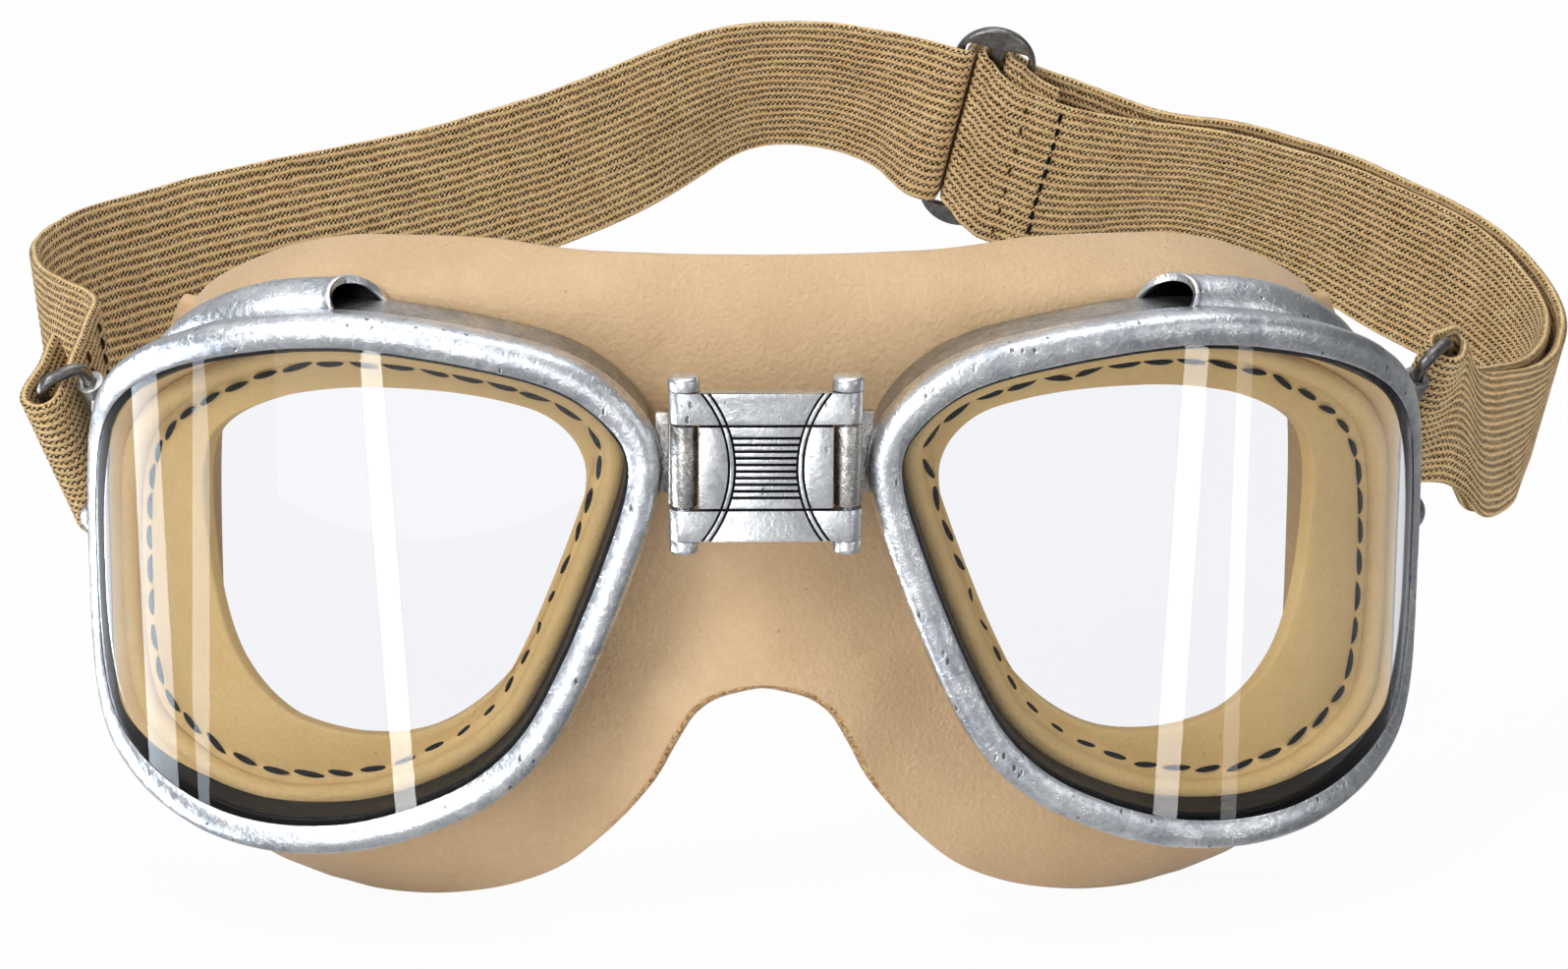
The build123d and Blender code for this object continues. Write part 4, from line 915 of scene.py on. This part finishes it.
middle_ups = [(-0.4441, -0.685), (-0.39, -0.60), (-0.30, -0.46), (-0.146, -0.28), (0.058, -0.24),
              (0.16, -0.17), (0.24, 0.02), (0.285, 0.18), (0.317, 0.33)]
middle = [nose_point(0.0, up, depth) for up, depth in middle_ups]
free = [middle[-1]] + [(a * cup_length, b * cup_height, mask_front - c * 10) for a, b, c in mask_shares]
for near_nose in ((6.85, -0.468, -0.67), (4.7, -0.4536, -0.68), (2.3, -0.447, -0.685)):
    free.append(nose_point(*near_nose))
free.append(middle[0])
beyond_top = (2 * free[0][0] - free[1][0], free[1][1], free[1][2])
beyond_foot = (2 * free[-1][0] - free[-2][0], free[-2][1], free[-2][2])
free_line = spline([beyond_top] + free + [beyond_foot], 1200, closed=False)
first = int(np.argmin(np.abs(free_line[:400, 0] - free[0][0])))
last = 800 + int(np.argmin(np.abs(free_line[800:, 0] - free[-1][0])))
free_line = spline(free_line[first:last + 1:6], 330, closed=False)
free_line[0, 0], free_line[-1, 0] = free[0][0], free[-1][0]
middle_line = spline(middle, 62, closed=False)
print("free edge", len(free_line), "points, middle line", len(middle_line))

# %% Mask halves
outer_line = np.vstack([free_line, middle_line[1:-1]])
on_middle = np.arange(len(outer_line)) >= len(free_line)
corner = np.zeros(len(outer_line), bool)
corner[[0, len(free_line) - 1]] = True
ahead = np.gradient(free_line[:, :2], axis=0)
ahead[0] = ahead[-1] = 0.0
ahead[0, 0], ahead[-1, 0] = 1.0, -1.0
ahead = directions(ahead)
edge_out = np.zeros((len(outer_line), 2))
edge_out[:len(free_line)] = np.column_stack([-ahead[:, 1], ahead[:, 0]])
outline_turns = np.arctan2(outer_line[:, 1] - centre_up, outer_line[:, 0] - centre_along)
shoulder = at_turns(inset(rim_loop, 0.3), outline_turns)
flange = at_turns(inset(rim_loop, 3.2), outline_turns)
notch = np.clip((outer_line[:, 2] - (-10.2)) / 3.0, 0, 1) * (outer_line[:, 1] < -20) * ~on_middle


def settled(places, reach=14.0, spread=2.6):
    """The sheet near the middle line, smoothed in depth with its mirror image, so that the halves meet."""
    flat = places.reshape(-1, 3) / mm
    near = flat[np.abs(flat[:, 0]) < reach + 3 * spread]
    near = np.vstack([near, near * np.array([-1, 1, 1])])
    wanted = np.where(np.abs(flat[:, 0]) < reach)[0]
    for some in np.array_split(wanted, 8):
        dx = near[None, :, 0] - flat[some, None, 0]
        dz = near[None, :, 2] - flat[some, None, 2]
        weight = np.exp(-(dx ** 2 + dz ** 2) / (2 * spread ** 2))
        weight /= weight.sum(1, keepdims=True)
        mean_x, mean_z = (weight * dx).sum(1), (weight * dz).sum(1)
        mean_y = (weight * near[None, :, 1]).sum(1)
        dx, dz, dy = dx - mean_x[:, None], dz - mean_z[:, None], near[None, :, 1] - mean_y[:, None]
        xx, xz, zz = (weight * dx * dx).sum(1), (weight * dx * dz).sum(1), (weight * dz * dz).sum(1)
        xy, zy = (weight * dx * dy).sum(1), (weight * dz * dy).sum(1)
        whole = xx * zz - xz ** 2
        smooth = mean_y - mean_x * (xy * zz - zy * xz) / whole - mean_z * (zy * xx - xy * xz) / whole
        flat[some, 1] += (smooth - flat[some, 1]) * eased(reach - np.abs(flat[some, 0]), 0.0, 5.0)
    return flat.reshape(places.shape) * mm


def behind_frame(start, share, sunk, pull, swell=0.0):
    """Places a share of the way from a loop behind the frame to the free edge, sunk below the face."""
    reach = outer_line[:, :2] - edge_out * pull
    if sunk:
        reach[on_middle, 1] = np.clip(reach[on_middle, 1], free_line[-1, 1] + 2.4, free_line[0, 1] - 2.4)
    drop = (mask_front - outer_line[:, 2]) * share ** 1.6
    places = skin(start + (reach - start) * share, mask_front - drop + swell - sunk)
    if share >= 1.0:
        places[on_middle | corner, 0] = 0.0
    return places


steps = [0.0, 0.06, 0.12, 0.2, 0.28, 0.37, 0.46, 0.55, 0.64, 0.73, 0.81, 0.88, 0.94, 1.0]
front_rows = [skin(flange, mask_front)]
for share in steps:
    swell = 0.5 * math.sin(math.pi * share) * (1 - 0.4 * on_middle)
    front_rows.append(behind_frame(shoulder, share, 0.0, edge_round, swell))
front_face = np.stack(front_rows, 1)
waves = bumps(front_face, 0.016, 2.0) * 0.16 + bumps(front_face, 0.006, 8.0) * 0.04
edge_hold = np.clip(np.abs(front_face[..., 0]) / (7 * mm), 0, 1) ** 2
front_face[:, 2:, 1] -= (waves * edge_hold * mm)[:, 2:]
front_face = settled(front_face)
tangent_out = directions(front_face[:, -1] - front_face[:, -2])
normal = directions(np.cross(tangent_out, steps_round(front_face[:, -1])))
normal *= np.sign(-normal[:, 1:2])
for k in np.where(corner)[0]:
    beside = k + 2 if k == 0 else k - 2
    normal[k] = normal[beside] * np.array([0, 1, 1])
    tangent_out[k] = tangent_out[beside] * np.array([0, 1, 1])
normal[on_middle | corner, 0] = 0.0
normal = directions(normal)
half = mask_thickness / 2
centre = front_face[:, -1] - normal * half * mm
edge_rows = []
for angle in np.radians([20, 40, 60, 80, 100, 120, 140, 160, 180]):
    soft = np.where(notch > 0.5, 0.5, 1.0)
    c = np.sign(math.cos(angle)) * abs(math.cos(angle)) ** soft
    s = abs(math.sin(angle)) ** soft * edge_round / half
    s = np.where(on_middle, 0.0, s)
    edge_rows.append(centre + (normal * c[:, None] + tangent_out * s[:, None]) * half * mm)
back_rows = []
for k in range(front_face.shape[1] - 2, 0, -1):
    outward = front_face[:, k + 1] - front_face[:, k - 1]
    facing = directions(np.cross(outward, steps_round(front_face[:, k])))
    facing *= np.sign(-facing[:, 1:2])
    back_rows.append(front_face[:, k] - facing * mask_thickness * mm)
back_rows.append(skin(flange, mask_front - mask_thickness))
places = np.stack(list(front_face.transpose(1, 0, 2)) + edge_rows + back_rows, 1)
cut_marks = np.zeros(places.shape[:2])
first_edge = front_face.shape[1]
cut_marks[:, first_edge:first_edge + len(edge_rows) - 1] = notch[:, None]
twins("mask_half", places, tan_leather, "tan_leather", ["mask_"], "mask_nose", angle=62,
      marks=("cut", cut_marks))

# %% [markdown]
# The lining is the face side: a pad of soft leather from the eye opening to just inside the mask's edge. It
# is crowned between the two, thin where it is sewn down, and it crosses the nose as the mask does.

# %% Lining halves
eye_at = at_turns(inset(eye_loop, -3.0), outline_turns)
eye_at[:, 0] += 6.0 * eased(eye_at[:, 0] / cup_length, 0.58, 0.7)
lining_start = at_turns(inset(rim_loop, 0.9), outline_turns)
lining_front = mask_thickness + 0.25


def pad(share, depth=0.0):
    return behind_frame(lining_start, share, lining_front + depth, 2.2)


def eye_wall(depth, spread=0.0):
    return inside(eye_at + (flange - eye_at) * spread, depth)


rows = [eye_wall(-10.95), eye_wall(-10.95, 0.5), skin(flange, mask_front - lining_front)]
rows += [pad(share) for share in (0.0, 0.25, 0.5, 0.75, 0.93, 1.0)]
rows += [pad(share, depth) for share, depth in ((1.0, 0.5), (0.97, 1.0), (0.9, 1.55), (0.78, 2.1), (0.6, 2.5),
                                                (0.4, 2.6), (0.2, 2.6), (0.0, 2.6))]
rows += [skin(flange, mask_front - lining_front - 2.7), eye_wall(-13.75, 0.5), eye_wall(-13.6, 0.2),
         eye_wall(-13.2, 0.06), eye_wall(-12.5), eye_wall(-11.7)]
places = np.concatenate([settled(np.stack(part, 1)) for part in (rows[:3], rows[3:9], rows[9:])], 1)
twins("lining_half", places, lining_leather, "lining_cork", ["lining_"], "lining_nose", fill=0.5, angle=60)

# %% [markdown]
# The strap is one ribbed webbing, 25 mm wide. Its route is a short list of middle points with the direction
# of its width, which is how a ribbon twists. A grid is rolled round the webbing's section, ribs and all, and
# laid along the route. The elastic is in six stretches here, because the cups, the rings and the slider move.

# %% Strap route
strap_span, strap_thickness = 110.0, 1.3
right_route_shares = [
    (0.802, 0.356, -0.129, -0.12, -0.43, 0.89), (0.849, 0.398, -0.142, -0.12, -0.39, 0.91),
    (0.893, 0.462, -0.157, -0.09, -0.46, 0.88), (0.921, 0.523, -0.164, -0.02, -0.52, 0.85),
    (0.950, 0.598, -0.163, 0.04, -0.57, 0.82), (0.971, 0.665, -0.153, 0.05, -0.58, 0.81),
    (0.975, 0.716, -0.141, 0.06, -0.55, 0.83), (0.961, 0.764, -0.122, 0.07, -0.50, 0.86),
    (0.936, 0.796, -0.101, 0.08, -0.43, 0.90), (0.905, 0.826, -0.082, 0.09, -0.40, 0.91),
    (0.855, 0.862, -0.060, 0.08, -0.39, 0.92), (0.796, 0.893, -0.035, 0.06, -0.42, 0.91),
    (0.737, 0.926, -0.011, 0.06, -0.50, 0.86), (0.674, 0.952, 0.008, 0.07, -0.56, 0.82),
    (0.590, 0.975, 0.026, 0.10, -0.58, 0.80), (0.518, 0.986, 0.030, 0.14, -0.54, 0.82),
    (0.445, 0.990, 0.055, 0.17, -0.46, 0.86),
]
left_route_shares = [
    (0.183, 1.016, 0.125, 0.01, -0.46, 0.88), (0.126, 1.029, 0.139, -0.04, -0.53, 0.84),
    (0.061, 1.034, 0.144, -0.03, -0.57, 0.82), (-0.006, 1.024, 0.137, -0.04, -0.53, 0.84),
    (-0.055, 1.008, 0.120, -0.06, -0.44, 0.90), (-0.096, 0.995, 0.102, -0.08, -0.38, 0.92),
    (-0.138, 0.983, 0.085, -0.07, -0.34, 0.94), (-0.184, 0.970, 0.068, -0.06, -0.32, 0.95),
    (-0.240, 0.953, 0.050, -0.05, -0.31, 0.95), (-0.291, 0.936, 0.038, -0.04, -0.31, 0.95),
    (-0.353, 0.915, 0.024, -0.04, -0.30, 0.95), (-0.415, 0.890, 0.012, -0.03, -0.27, 0.96),
    (-0.475, 0.861, 0.003, -0.03, -0.22, 0.97), (-0.537, 0.828, -0.004, -0.03, -0.17, 0.98),
    (-0.598, 0.793, -0.010, -0.03, -0.12, 0.99), (-0.657, 0.756, -0.016, -0.03, -0.09, 0.99),
    (-0.713, 0.716, -0.023, -0.04, -0.08, 0.99), (-0.765, 0.669, -0.028, -0.06, -0.09, 0.99),
    (-0.805, 0.622, -0.033, -0.08, -0.13, 0.98), (-0.829, 0.573, -0.038, -0.08, -0.22, 0.97),
    (-0.832, 0.527, -0.042, -0.06, -0.32, 0.94), (-0.815, 0.478, -0.042, -0.04, -0.40, 0.91),
    (-0.783, 0.430, -0.043, -0.03, -0.43, 0.90), (-0.750, 0.392, -0.050, -0.05, -0.46, 0.88),
]


def unit(v):
    return Vector(v).normalized()


def route(shares):
    return [(Vector(row[:3]) * strap_span, unit(row[3:])) for row in shares]


def ahead_at(stations, k):
    return (stations[min(k + 1, len(stations) - 1)][0] - stations[max(k - 1, 0)][0]).normalized()


def moved_in(stations, amount):
    return [(p + w.cross(ahead_at(stations, k)).normalized() * amount, w)
            for k, (p, w) in enumerate(stations)]


# %% [markdown]
# At the slider the left run passes down one slot and behind the middle bar, and the right run's end folds
# round that bar and is sewn to itself. At each ring the webbing rolls round the wire. These short turns are
# written in the slider's and the ring's own directions.

# %% Turns at the slider and the rings
layer = strap_thickness + 0.9
slider_at = Vector((0.300, 0.976, 0.100)) * strap_span
slider_up = unit((0.19, -0.33, 0.925))
slider_along = unit((0.96, -0.04, -0.28))
slider_along = (slider_along - slider_up * slider_along.dot(slider_up)).normalized()
slider_front = slider_along.cross(slider_up).normalized()


def by_slider(*places):
    """Stations at places along the slider, in front of its middle and, where given, below its middle."""
    return [(slider_at + slider_along * along + slider_front * front - slider_up * sum(low), slider_up)
            for along, front, *low in places]


half_slider, half_bar, half_plate, slip = 5.7, 1.0, 0.6, 0.2
front_drop, tail_drop, back_drop = 3.9, 2.6, 2.9
inner_edge = half_slider - 1.3
wrap_gap = strap_thickness / 2 + slip
corner_gap = wrap_gap * math.sqrt(0.5)
touch = half_plate + wrap_gap
stack = touch + strap_thickness + slip
slot_run = -inner_edge + strap_thickness / 2 + 2 * slip
well_off = half_slider + 3.8
left_dive = by_slider(
    (half_bar, -stack), (-half_bar, -stack), (slot_run + wrap_gap * 2 - slip / 2, -stack + slip / 2),
    (slot_run + corner_gap - slip / 2, -touch - slip * 2.5), (slot_run, -half_plate),
    (slot_run - slip / 2, 0.0),
    (slot_run - slip, half_plate), (-inner_edge + corner_gap, half_plate + corner_gap),
    (-inner_edge, touch), (-half_slider, touch))
fold = by_slider(
    (well_off, stack, front_drop), (half_slider, stack, front_drop * 0.88),
    (inner_edge - wrap_gap, stack, front_drop * 0.8),
    (half_bar + wrap_gap * 1.25, stack - slip, front_drop * 0.6),
    (half_bar - wrap_gap / 2, touch + wrap_gap * 0.75, front_drop * 0.42),
    (-half_bar * 0.3, touch + slip / 2, front_drop * 0.24), (-half_bar, touch, front_drop * 0.14),
    (-half_bar - corner_gap, half_plate + corner_gap), (-half_bar - wrap_gap, half_plate),
    (-half_bar - wrap_gap, -half_plate), (-half_bar - corner_gap, -half_plate - corner_gap),
    (-half_bar, -touch),
    (0.0, -touch), (half_bar, -touch), (half_bar + corner_gap, -half_plate - corner_gap),
    (half_bar + wrap_gap, -half_plate), (half_bar + wrap_gap * 1.1, 0.0),
    (half_bar + wrap_gap * 1.6, half_plate + slip),
    (inner_edge - wrap_gap * 1.6, touch - slip), (inner_edge, touch, tail_drop * 0.2),
    (half_slider, touch, tail_drop * 0.5), (well_off, touch, tail_drop))
behind = by_slider((half_bar, -stack), (half_slider, -stack, back_drop * 0.8), (well_off, -stack, back_drop))

ring_reach, roll_radius = 5.9, 2.3
ring_lean, ring_middle = unit((0.22, -0.53, 0.82)), (80.5, 29.5, -10.0)


def ring_bar(flip, way):
    """The middle of a ring's bar and the bar's own direction."""
    lean, middle, way = (Vector((flip * x, y, z)) for x, y, z in (ring_lean, ring_middle, way))
    way = (way - lean * way.dot(lean)).normalized()
    return middle + way * ring_reach, lean


def bar_roll(bar, lean, ahead, outward):
    """Half a turn of stations round a ring's bar."""
    ahead = (ahead - lean * ahead.dot(lean)).normalized()
    side = lean.cross(ahead).normalized()
    if side.dot(outward) < 0:
        side = side * -1
    stations = [(bar + (side * math.cos(angle) - ahead * math.sin(angle)) * roll_radius, lean)
                for angle in np.linspace(0, math.pi, 9)]
    return stations, ahead, side


def between(a, b, share):
    return (a * (1 - share) + b * share).normalized()


right_route = route(right_route_shares)
outer_run, inner_run = moved_in(right_route, -layer / 2), moved_in(right_route, layer / 2)
bar, lean = ring_bar(1, (2.4, 5.0, -1.2))
rolled, ahead, side = bar_roll(bar, lean, right_route[1][0] - bar, outer_run[1][0] - inner_run[1][0])
by_bar, by_lean = bar + ahead * (roll_radius * 1.7), between(lean, right_route[1][1], 0.4)
right_stations = behind + outer_run[-2:0:-1]
stand_off = side * (layer * 0.7)
right_stations += [(by_bar + stand_off, by_lean)] + rolled + [(by_bar - stand_off, by_lean)]
right_stations += inner_run[1:-1] + fold
end_stations = 6
first_seam = len(behind) + len(outer_run) - 2 - end_stations
fold_seam = len(right_stations) - len(fold)
second_seam = fold_seam - (len(inner_run) - 1) + end_stations
front_seam = second_seam + 8

left_route = route(left_route_shares)
bar, lean = ring_bar(-1, (5.5, -2.1, -0.6))
flap = left_route[-1][0] - bar
rolled, ahead, side = bar_roll(bar, lean, flap, Vector((0, -1, 0)))
left_stations = left_dive + left_route
for share in (0.84, 0.66, 0.48, 0.3):
    on_line = bar + ahead * (flap.length * share) * (1 - share) + flap * (share * share)
    on_line += side * (layer * (1 - share * share))
    left_stations.append((on_line, between(lean, left_route[-1][1], share)))
left_stations += rolled
for share in (0.28, 0.42, 0.56):
    left_stations.append((bar + ahead * (flap.length * share) - side * (layer * (1 - share) * 0.7), lean))
left_seam = len(left_dive) + 18
print("strap stations:", len(right_stations), "right,", len(left_stations), "left")

# %% [markdown]
# The webbing itself. A smooth curve goes through all the stations of one side, so that the stretches cut
# from it meet without a step. Its section has a rib every 1.3 mm on both faces and a rounded edge.

# %% Webbing along the route
def smooth_through(values, marks, wanted):
    """A natural cubic spline through values at marks, read at the wanted places."""
    n = len(marks)
    h = np.diff(marks)
    system = np.zeros((n, n))
    system[0, 0] = system[-1, -1] = 1
    right_side = np.zeros((n, values.shape[1]))
    for k in range(1, n - 1):
        system[k, k - 1:k + 2] = h[k - 1], 2 * (h[k - 1] + h[k]), h[k]
        right_side[k] = 3 * ((values[k + 1] - values[k]) / h[k] - (values[k] - values[k - 1]) / h[k - 1])
    c = np.linalg.solve(system, right_side)
    b = np.diff(values, axis=0) / h[:, None] - h[:, None] * (2 * c[:-1] + c[1:]) / 3
    d = (c[1:] - c[:-1]) / (3 * h[:, None])
    k = np.clip(np.searchsorted(marks, wanted, side="right") - 1, 0, n - 2)
    x = (wanted - marks[k])[:, None]
    return values[k] + b[k] * x + c[k] * x ** 2 + d[k] * x ** 3


def webbing_run(name, stations, first, last, step):
    """A stretch of webbing between two stations, and its length in millimetres."""
    middles = np.array([tuple(p) for p, _ in stations])
    marks = marks_along(middles)
    length = marks[last] - marks[first]
    at = np.linspace(marks[first], marks[last], max(int(length / step), 8))
    line = smooth_through(middles, marks, at)
    ahead = directions(smooth_through(middles, marks, at + 0.05) - smooth_through(middles, marks, at - 0.05))
    width = directions(smooth_through(np.array([tuple(w) for _, w in stations]), marks, at))
    out = directions(np.cross(width, ahead))
    ribs_reach, rib_height, round_edge, points_per_rib = strap_width / 2 - 0.45, 0.11, 0.45, 6
    u = np.linspace(-1, 1, rib_count * points_per_rib + 1) * ribs_reach
    rib = np.abs(np.sin((u + strap_width / 2) / rib_pitch * math.pi))
    thick = strap_thickness / 2 - rib_height + rib_height * rib
    edge = np.radians(np.linspace(70, -70, 5))
    side_u = round_edge * np.cos(edge)
    section_u = np.concatenate([u, u[-1] + side_u, u[::-1], -u[-1] - side_u[::-1]])
    section_h = np.concatenate([thick, 0.5 * np.sin(edge), -thick[::-1], 0.5 * np.sin(edge[::-1])])
    uv_u = np.concatenate([u + strap_width / 2, strap_width + 0.3 * np.arange(5), u[::-1] + strap_width / 2,
                           -0.3 * np.arange(5)])
    wobble = noise_at((a * 0.09, 3.0, len(name)) for a in at)
    flutter = noise_at((a * 0.6, 9.0, len(name)) for a in at)
    spread = section_u[None, :] + (wobble * 0.22 + flutter * 0.05)[:, None]
    flat = (line[:, None, :] + width[:, None, :] * spread[..., None]) * mm
    places = flat + out[:, None, :] * section_h[None, :, None] * mm
    places = np.concatenate([flat[:1], places, flat[-1:]])
    uv = np.zeros((places.shape[0], places.shape[1] + 1, 2))
    uv[:, :, 0] = np.append(uv_u, uv_u[0])[None, :]
    uv[:, :, 1] = np.concatenate([at[:1], at, at[-1:]])[:, None]
    piece = lay(name, places, webbing, "elastic_webbing", close_rows=False, uv=uv, angle=70)
    print(name, round(length), "mm long")
    return piece, length


right_bend = ("right_cup", "bridge", (0.105, 0.083, -0.0135), (0.067, 0.106, 0.002))
stretches = [
    ("strap_left_long", left_stations, 0, left_seam, 0.9,
     ("left_cup", "bridge", (-0.084, 0.071, -0.003), (0.0, 0.113, 0.015)),
     "strap_left_run", ["slider", "strap_left_end"]),
    ("strap_left_short", left_stations, left_seam, len(left_stations) - 1, 0.6,
     ("left_ring", "left_cup", (-0.087, 0.038, -0.005), (-0.091, 0.062, -0.005)),
     "strap_left_end", ["ring_left"]),
    ("strap_right_back", right_stations, 0, first_seam, 0.9, right_bend,
     "strap_right_outer", ["slider", "strap_right_end"]),
    ("strap_right_turn", right_stations, first_seam, second_seam, 0.7,
     ("right_ring", "right_cup", (0.088, 0.041, -0.015), (0.102, 0.069, -0.015)),
     "strap_right_end", ["ring_right"]),
    ("strap_right_front", right_stations, second_seam, front_seam, 0.8, right_bend,
     "strap_right_inner", ["strap_right_end"]),
    ("strap_slider_fold", right_stations, front_seam, len(right_stations) - 1, 0.8,
     ("slider", "bridge", (0.046, 0.105, 0.004), (0.062, 0.1065, 0.0025)),
     "strap_right_inner", ["slider"]),
]
for name, stations, first, last, step, (near, far, start, end), node, rests in stretches:
    piece, length = webbing_run(name, stations, first, last, step)
    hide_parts(node)
    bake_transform(piece)

# %% [markdown]
# Thread across the strap: two rows at the flap beside the left ring, and two where the right end is sewn to
# itself beside the slider.

# %% Sewing on the strap
def across_strap(stations, k, front, inset_by=1.6, lift=0.18, shift=0.0):
    """A line across the strap at a station, and the way that the strap faces there."""
    point, width = stations[k]
    out = width.cross(ahead_at(stations, k)).normalized()
    if out.dot(front) < 0:
        out = -out
    point = point + ahead_at(stations, k) * shift + out * (strap_thickness / 2 + lift)
    reach = width * (strap_width / 2 - inset_by)
    line = np.array([tuple((point + reach * t) * mm) for t in np.linspace(-1, 1, 40)])
    return line, np.repeat(np.array([tuple(out)]), 40, 0)


def sewn_rows(main, second, node, body):
    """Two rows of thread joined into one piece that rides a body."""
    select(second, main)
    bpy.ops.object.join()
    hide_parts(node)
    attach(main, body)


def flap_row(name, station, seed):
    return sewn(name, *across_strap(left_stations, station, Vector((0, -1, 0))), 1.9, 0.6, 0.24, brown_thread,
                "thread_tan", seed, wander=0.08)


flap_first = len(left_dive) + len(left_route)
sewn_rows(flap_row("flap_sewing", flap_first, 21), flap_row("flap_sewing_b", flap_first + 2, 22),
          "sewing_left", "left_ring")
black_row = sewn("slider_sewing", *across_strap(right_stations, fold_seam, slider_front, 0.8, 0.12, -0.9),
                 1.7, 0.5, 0.3, black_thread, "thread_tan", 31)
brown_row = sewn("slider_sewing_b", *across_strap(right_stations, fold_seam + 1, slider_front, 0.8, 0.12),
                 1.2, 1.9, 0.22, brown_thread, "thread_tan", 32)
sewn_rows(black_row, brown_row, "sewing_slider", "slider")

# %% [markdown]
# Soft studio light: a large lamp high on the left makes the shapes, a broad one overhead lights the tops of
# the rims, and weak ones on the right and low in front open the shadows. Strip lamps that only mirrors can
# see put the long upright streaks and the pale windows on the lenses.

# %% Lamps
def lamp(name, place, target, size, power, wide=None, colour=(1, 1, 1), mirrors_only=False):
    bpy.ops.object.light_add(type="AREA", location=place)
    light = bpy.context.object
    light.name = name
    light.data.shape = "RECTANGLE"
    light.data.size, light.data.size_y = wide or size, size
    light.data.energy = power
    light.data.color = colour
    light.rotation_mode = "QUATERNION"
    light.rotation_quaternion = (Vector(target) - Vector(place)).to_track_quat("-Z", "Y")
    light.visible_diffuse = not mirrors_only
    return light


goggles_middle = (0, 0, -0.02)
lamp("key", (-0.75, -0.75, 0.75), goggles_middle, 0.5, 8.2)
lamp("overhead", (0.1, 0.0, 1.1), (0, 0, 0), 0.9, 4.5)
lamp("fill", (0.9, -0.8, 0.25), goggles_middle, 0.6, 1.6)
lamp("front", (-0.5, -1.15, 0.0), goggles_middle, 0.8, 4.8)


def streak(name, side, top_along, foot_along, width, strength, colour=(1, 1, 1)):
    """A strip lamp that the lens mirrors as an upright streak between two places along the lens."""
    ends, starts = [], []
    for along, up in ((top_along, 14.0), (foot_along, -50.0)):
        place, ahead_of_it = (Vector(wrap(along, up, out) * np.array([side, 1.0, 1.0]))
                              for out in (half_lens, 1.9))
        facing = (ahead_of_it - place).normalized()
        seen_along = (place - camera.location).normalized()
        starts.append(place)
        ends.append(place + seen_along - 2 * seen_along.dot(facing) * facing)
    middle, length, on_lens = (ends[0] + ends[1]) / 2, (ends[0] - ends[1]).length, (starts[0] + starts[1]) / 2
    light = lamp(name, middle, on_lens, length, strength * math.pi * width * length, width, colour, True)
    away = (middle - on_lens).normalized()
    upright = ends[0] - ends[1]
    upright = (upright - away * upright.dot(away)).normalized()
    light.rotation_quaternion = Matrix((upright.cross(away), upright, away)).transposed().to_quaternion()


daylight = (0.8, 0.9, 1.0)
streak("streak_right", 1, 40.3, 37.6, 0.044, 24)
streak("streak_right_faint", 1, 46.4, 46.0, 0.03, 8)
streak("streak_left", -1, 35.4, 31.4, 0.036, 40)
streak("window_left", -1, 56.5, 58.5, 0.12, 14, daylight)
streak("window_left_far", -1, 64.0, 67.0, 1.1, 15, (0.82, 0.91, 1.0))

# %% [markdown]
# The floor is plain and pale. To the camera nearly all of it is a white that owes nothing to the lamps, so it
# never needs more light; the rest is an ordinary pale surface, which keeps the goggles' shadow. The world is
# white to the camera too. Metal and lenses see neither: they mirror a studio of greys, bright in front and
# above and dark on the right, which gives the rims their light and dark sides.

# %% Floor and world
low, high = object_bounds()
bpy.ops.mesh.primitive_plane_add(size=6.0, location=(0, 0, low.z - 0.0002))
floor = bpy.context.object
floor.name = "floor"
paper, tree, shader = new_material("Pale floor", Roughness=0.9)
shader.inputs["Base Color"].default_value = (0.9, 0.9, 0.9, 1)
rays = put(tree, "LightPath")
looking = larger(rays.outputs["Is Camera Ray"], rays.outputs["Is Transmission Ray"])
glow = put(tree, "Emission", {"Color": (1, 1, 1, 1), "Strength": 1.0})
whiter = either(times(looking, 0.95), shader, glow)
feed(tree.nodes["Material Output"].inputs["Surface"], whiter.outputs["Shader"])
floor.data.materials.append(paper)
floor.visible_glossy = False
floor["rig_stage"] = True

world = bpy.data.worlds.new("Studio")
bpy.context.scene.world = world
world.use_nodes = True
tree = world.node_tree
ground = tree.nodes["Background"]
ground.inputs["Color"].default_value = (0.78, 0.8, 0.84, 1)
ground.inputs["Strength"].default_value = 0.55
white = put(tree, "Background", {"Color": (1, 1, 1, 1), "Strength": 1.0})
split = put(tree, "SeparateXYZ", {"Vector": put(tree, "TexCoord").outputs["Generated"]})


def by_direction(axis, stops):
    """Grey levels along one axis of the direction, from -1 to 1."""
    greys = [((place + 1) / 2, (level,) * 3 + (1.0,)) for place, level in stops]
    return ramp(remap(split.outputs[axis], -1.0, 1.0), greys)


heights = by_direction("Z", [(-1, 0.55), (-0.6, 0.72), (-0.3, 0.95), (0, 0.62), (0.3, 0.5), (0.6, 0.9),
                             (1, 1.0)])
sides = by_direction("X", [(-1, 0.55), (-0.6, 0.95), (-0.3, 0.75), (0.05, 1.0), (0.35, 0.74), (0.6, 0.3),
                           (1, 0.36)])
studio = put(tree, "Background", {"Color": mixed(1.0, heights, sides, "MULTIPLY"), "Strength": 0.95})
rays = put(tree, "LightPath")
looking = larger(rays.outputs["Is Camera Ray"], rays.outputs["Is Transmission Ray"])
choice = either(looking, either(rays.outputs["Is Glossy Ray"], ground, studio), white)
feed(tree.nodes["World Output"].inputs["Surface"], choice.outputs["Shader"])
bpy.context.scene.view_settings.view_transform = "Standard"

# %% Sizes
low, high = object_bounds()
print("visual size in mm", [round(v / mm, 1) for v in (high - low)])
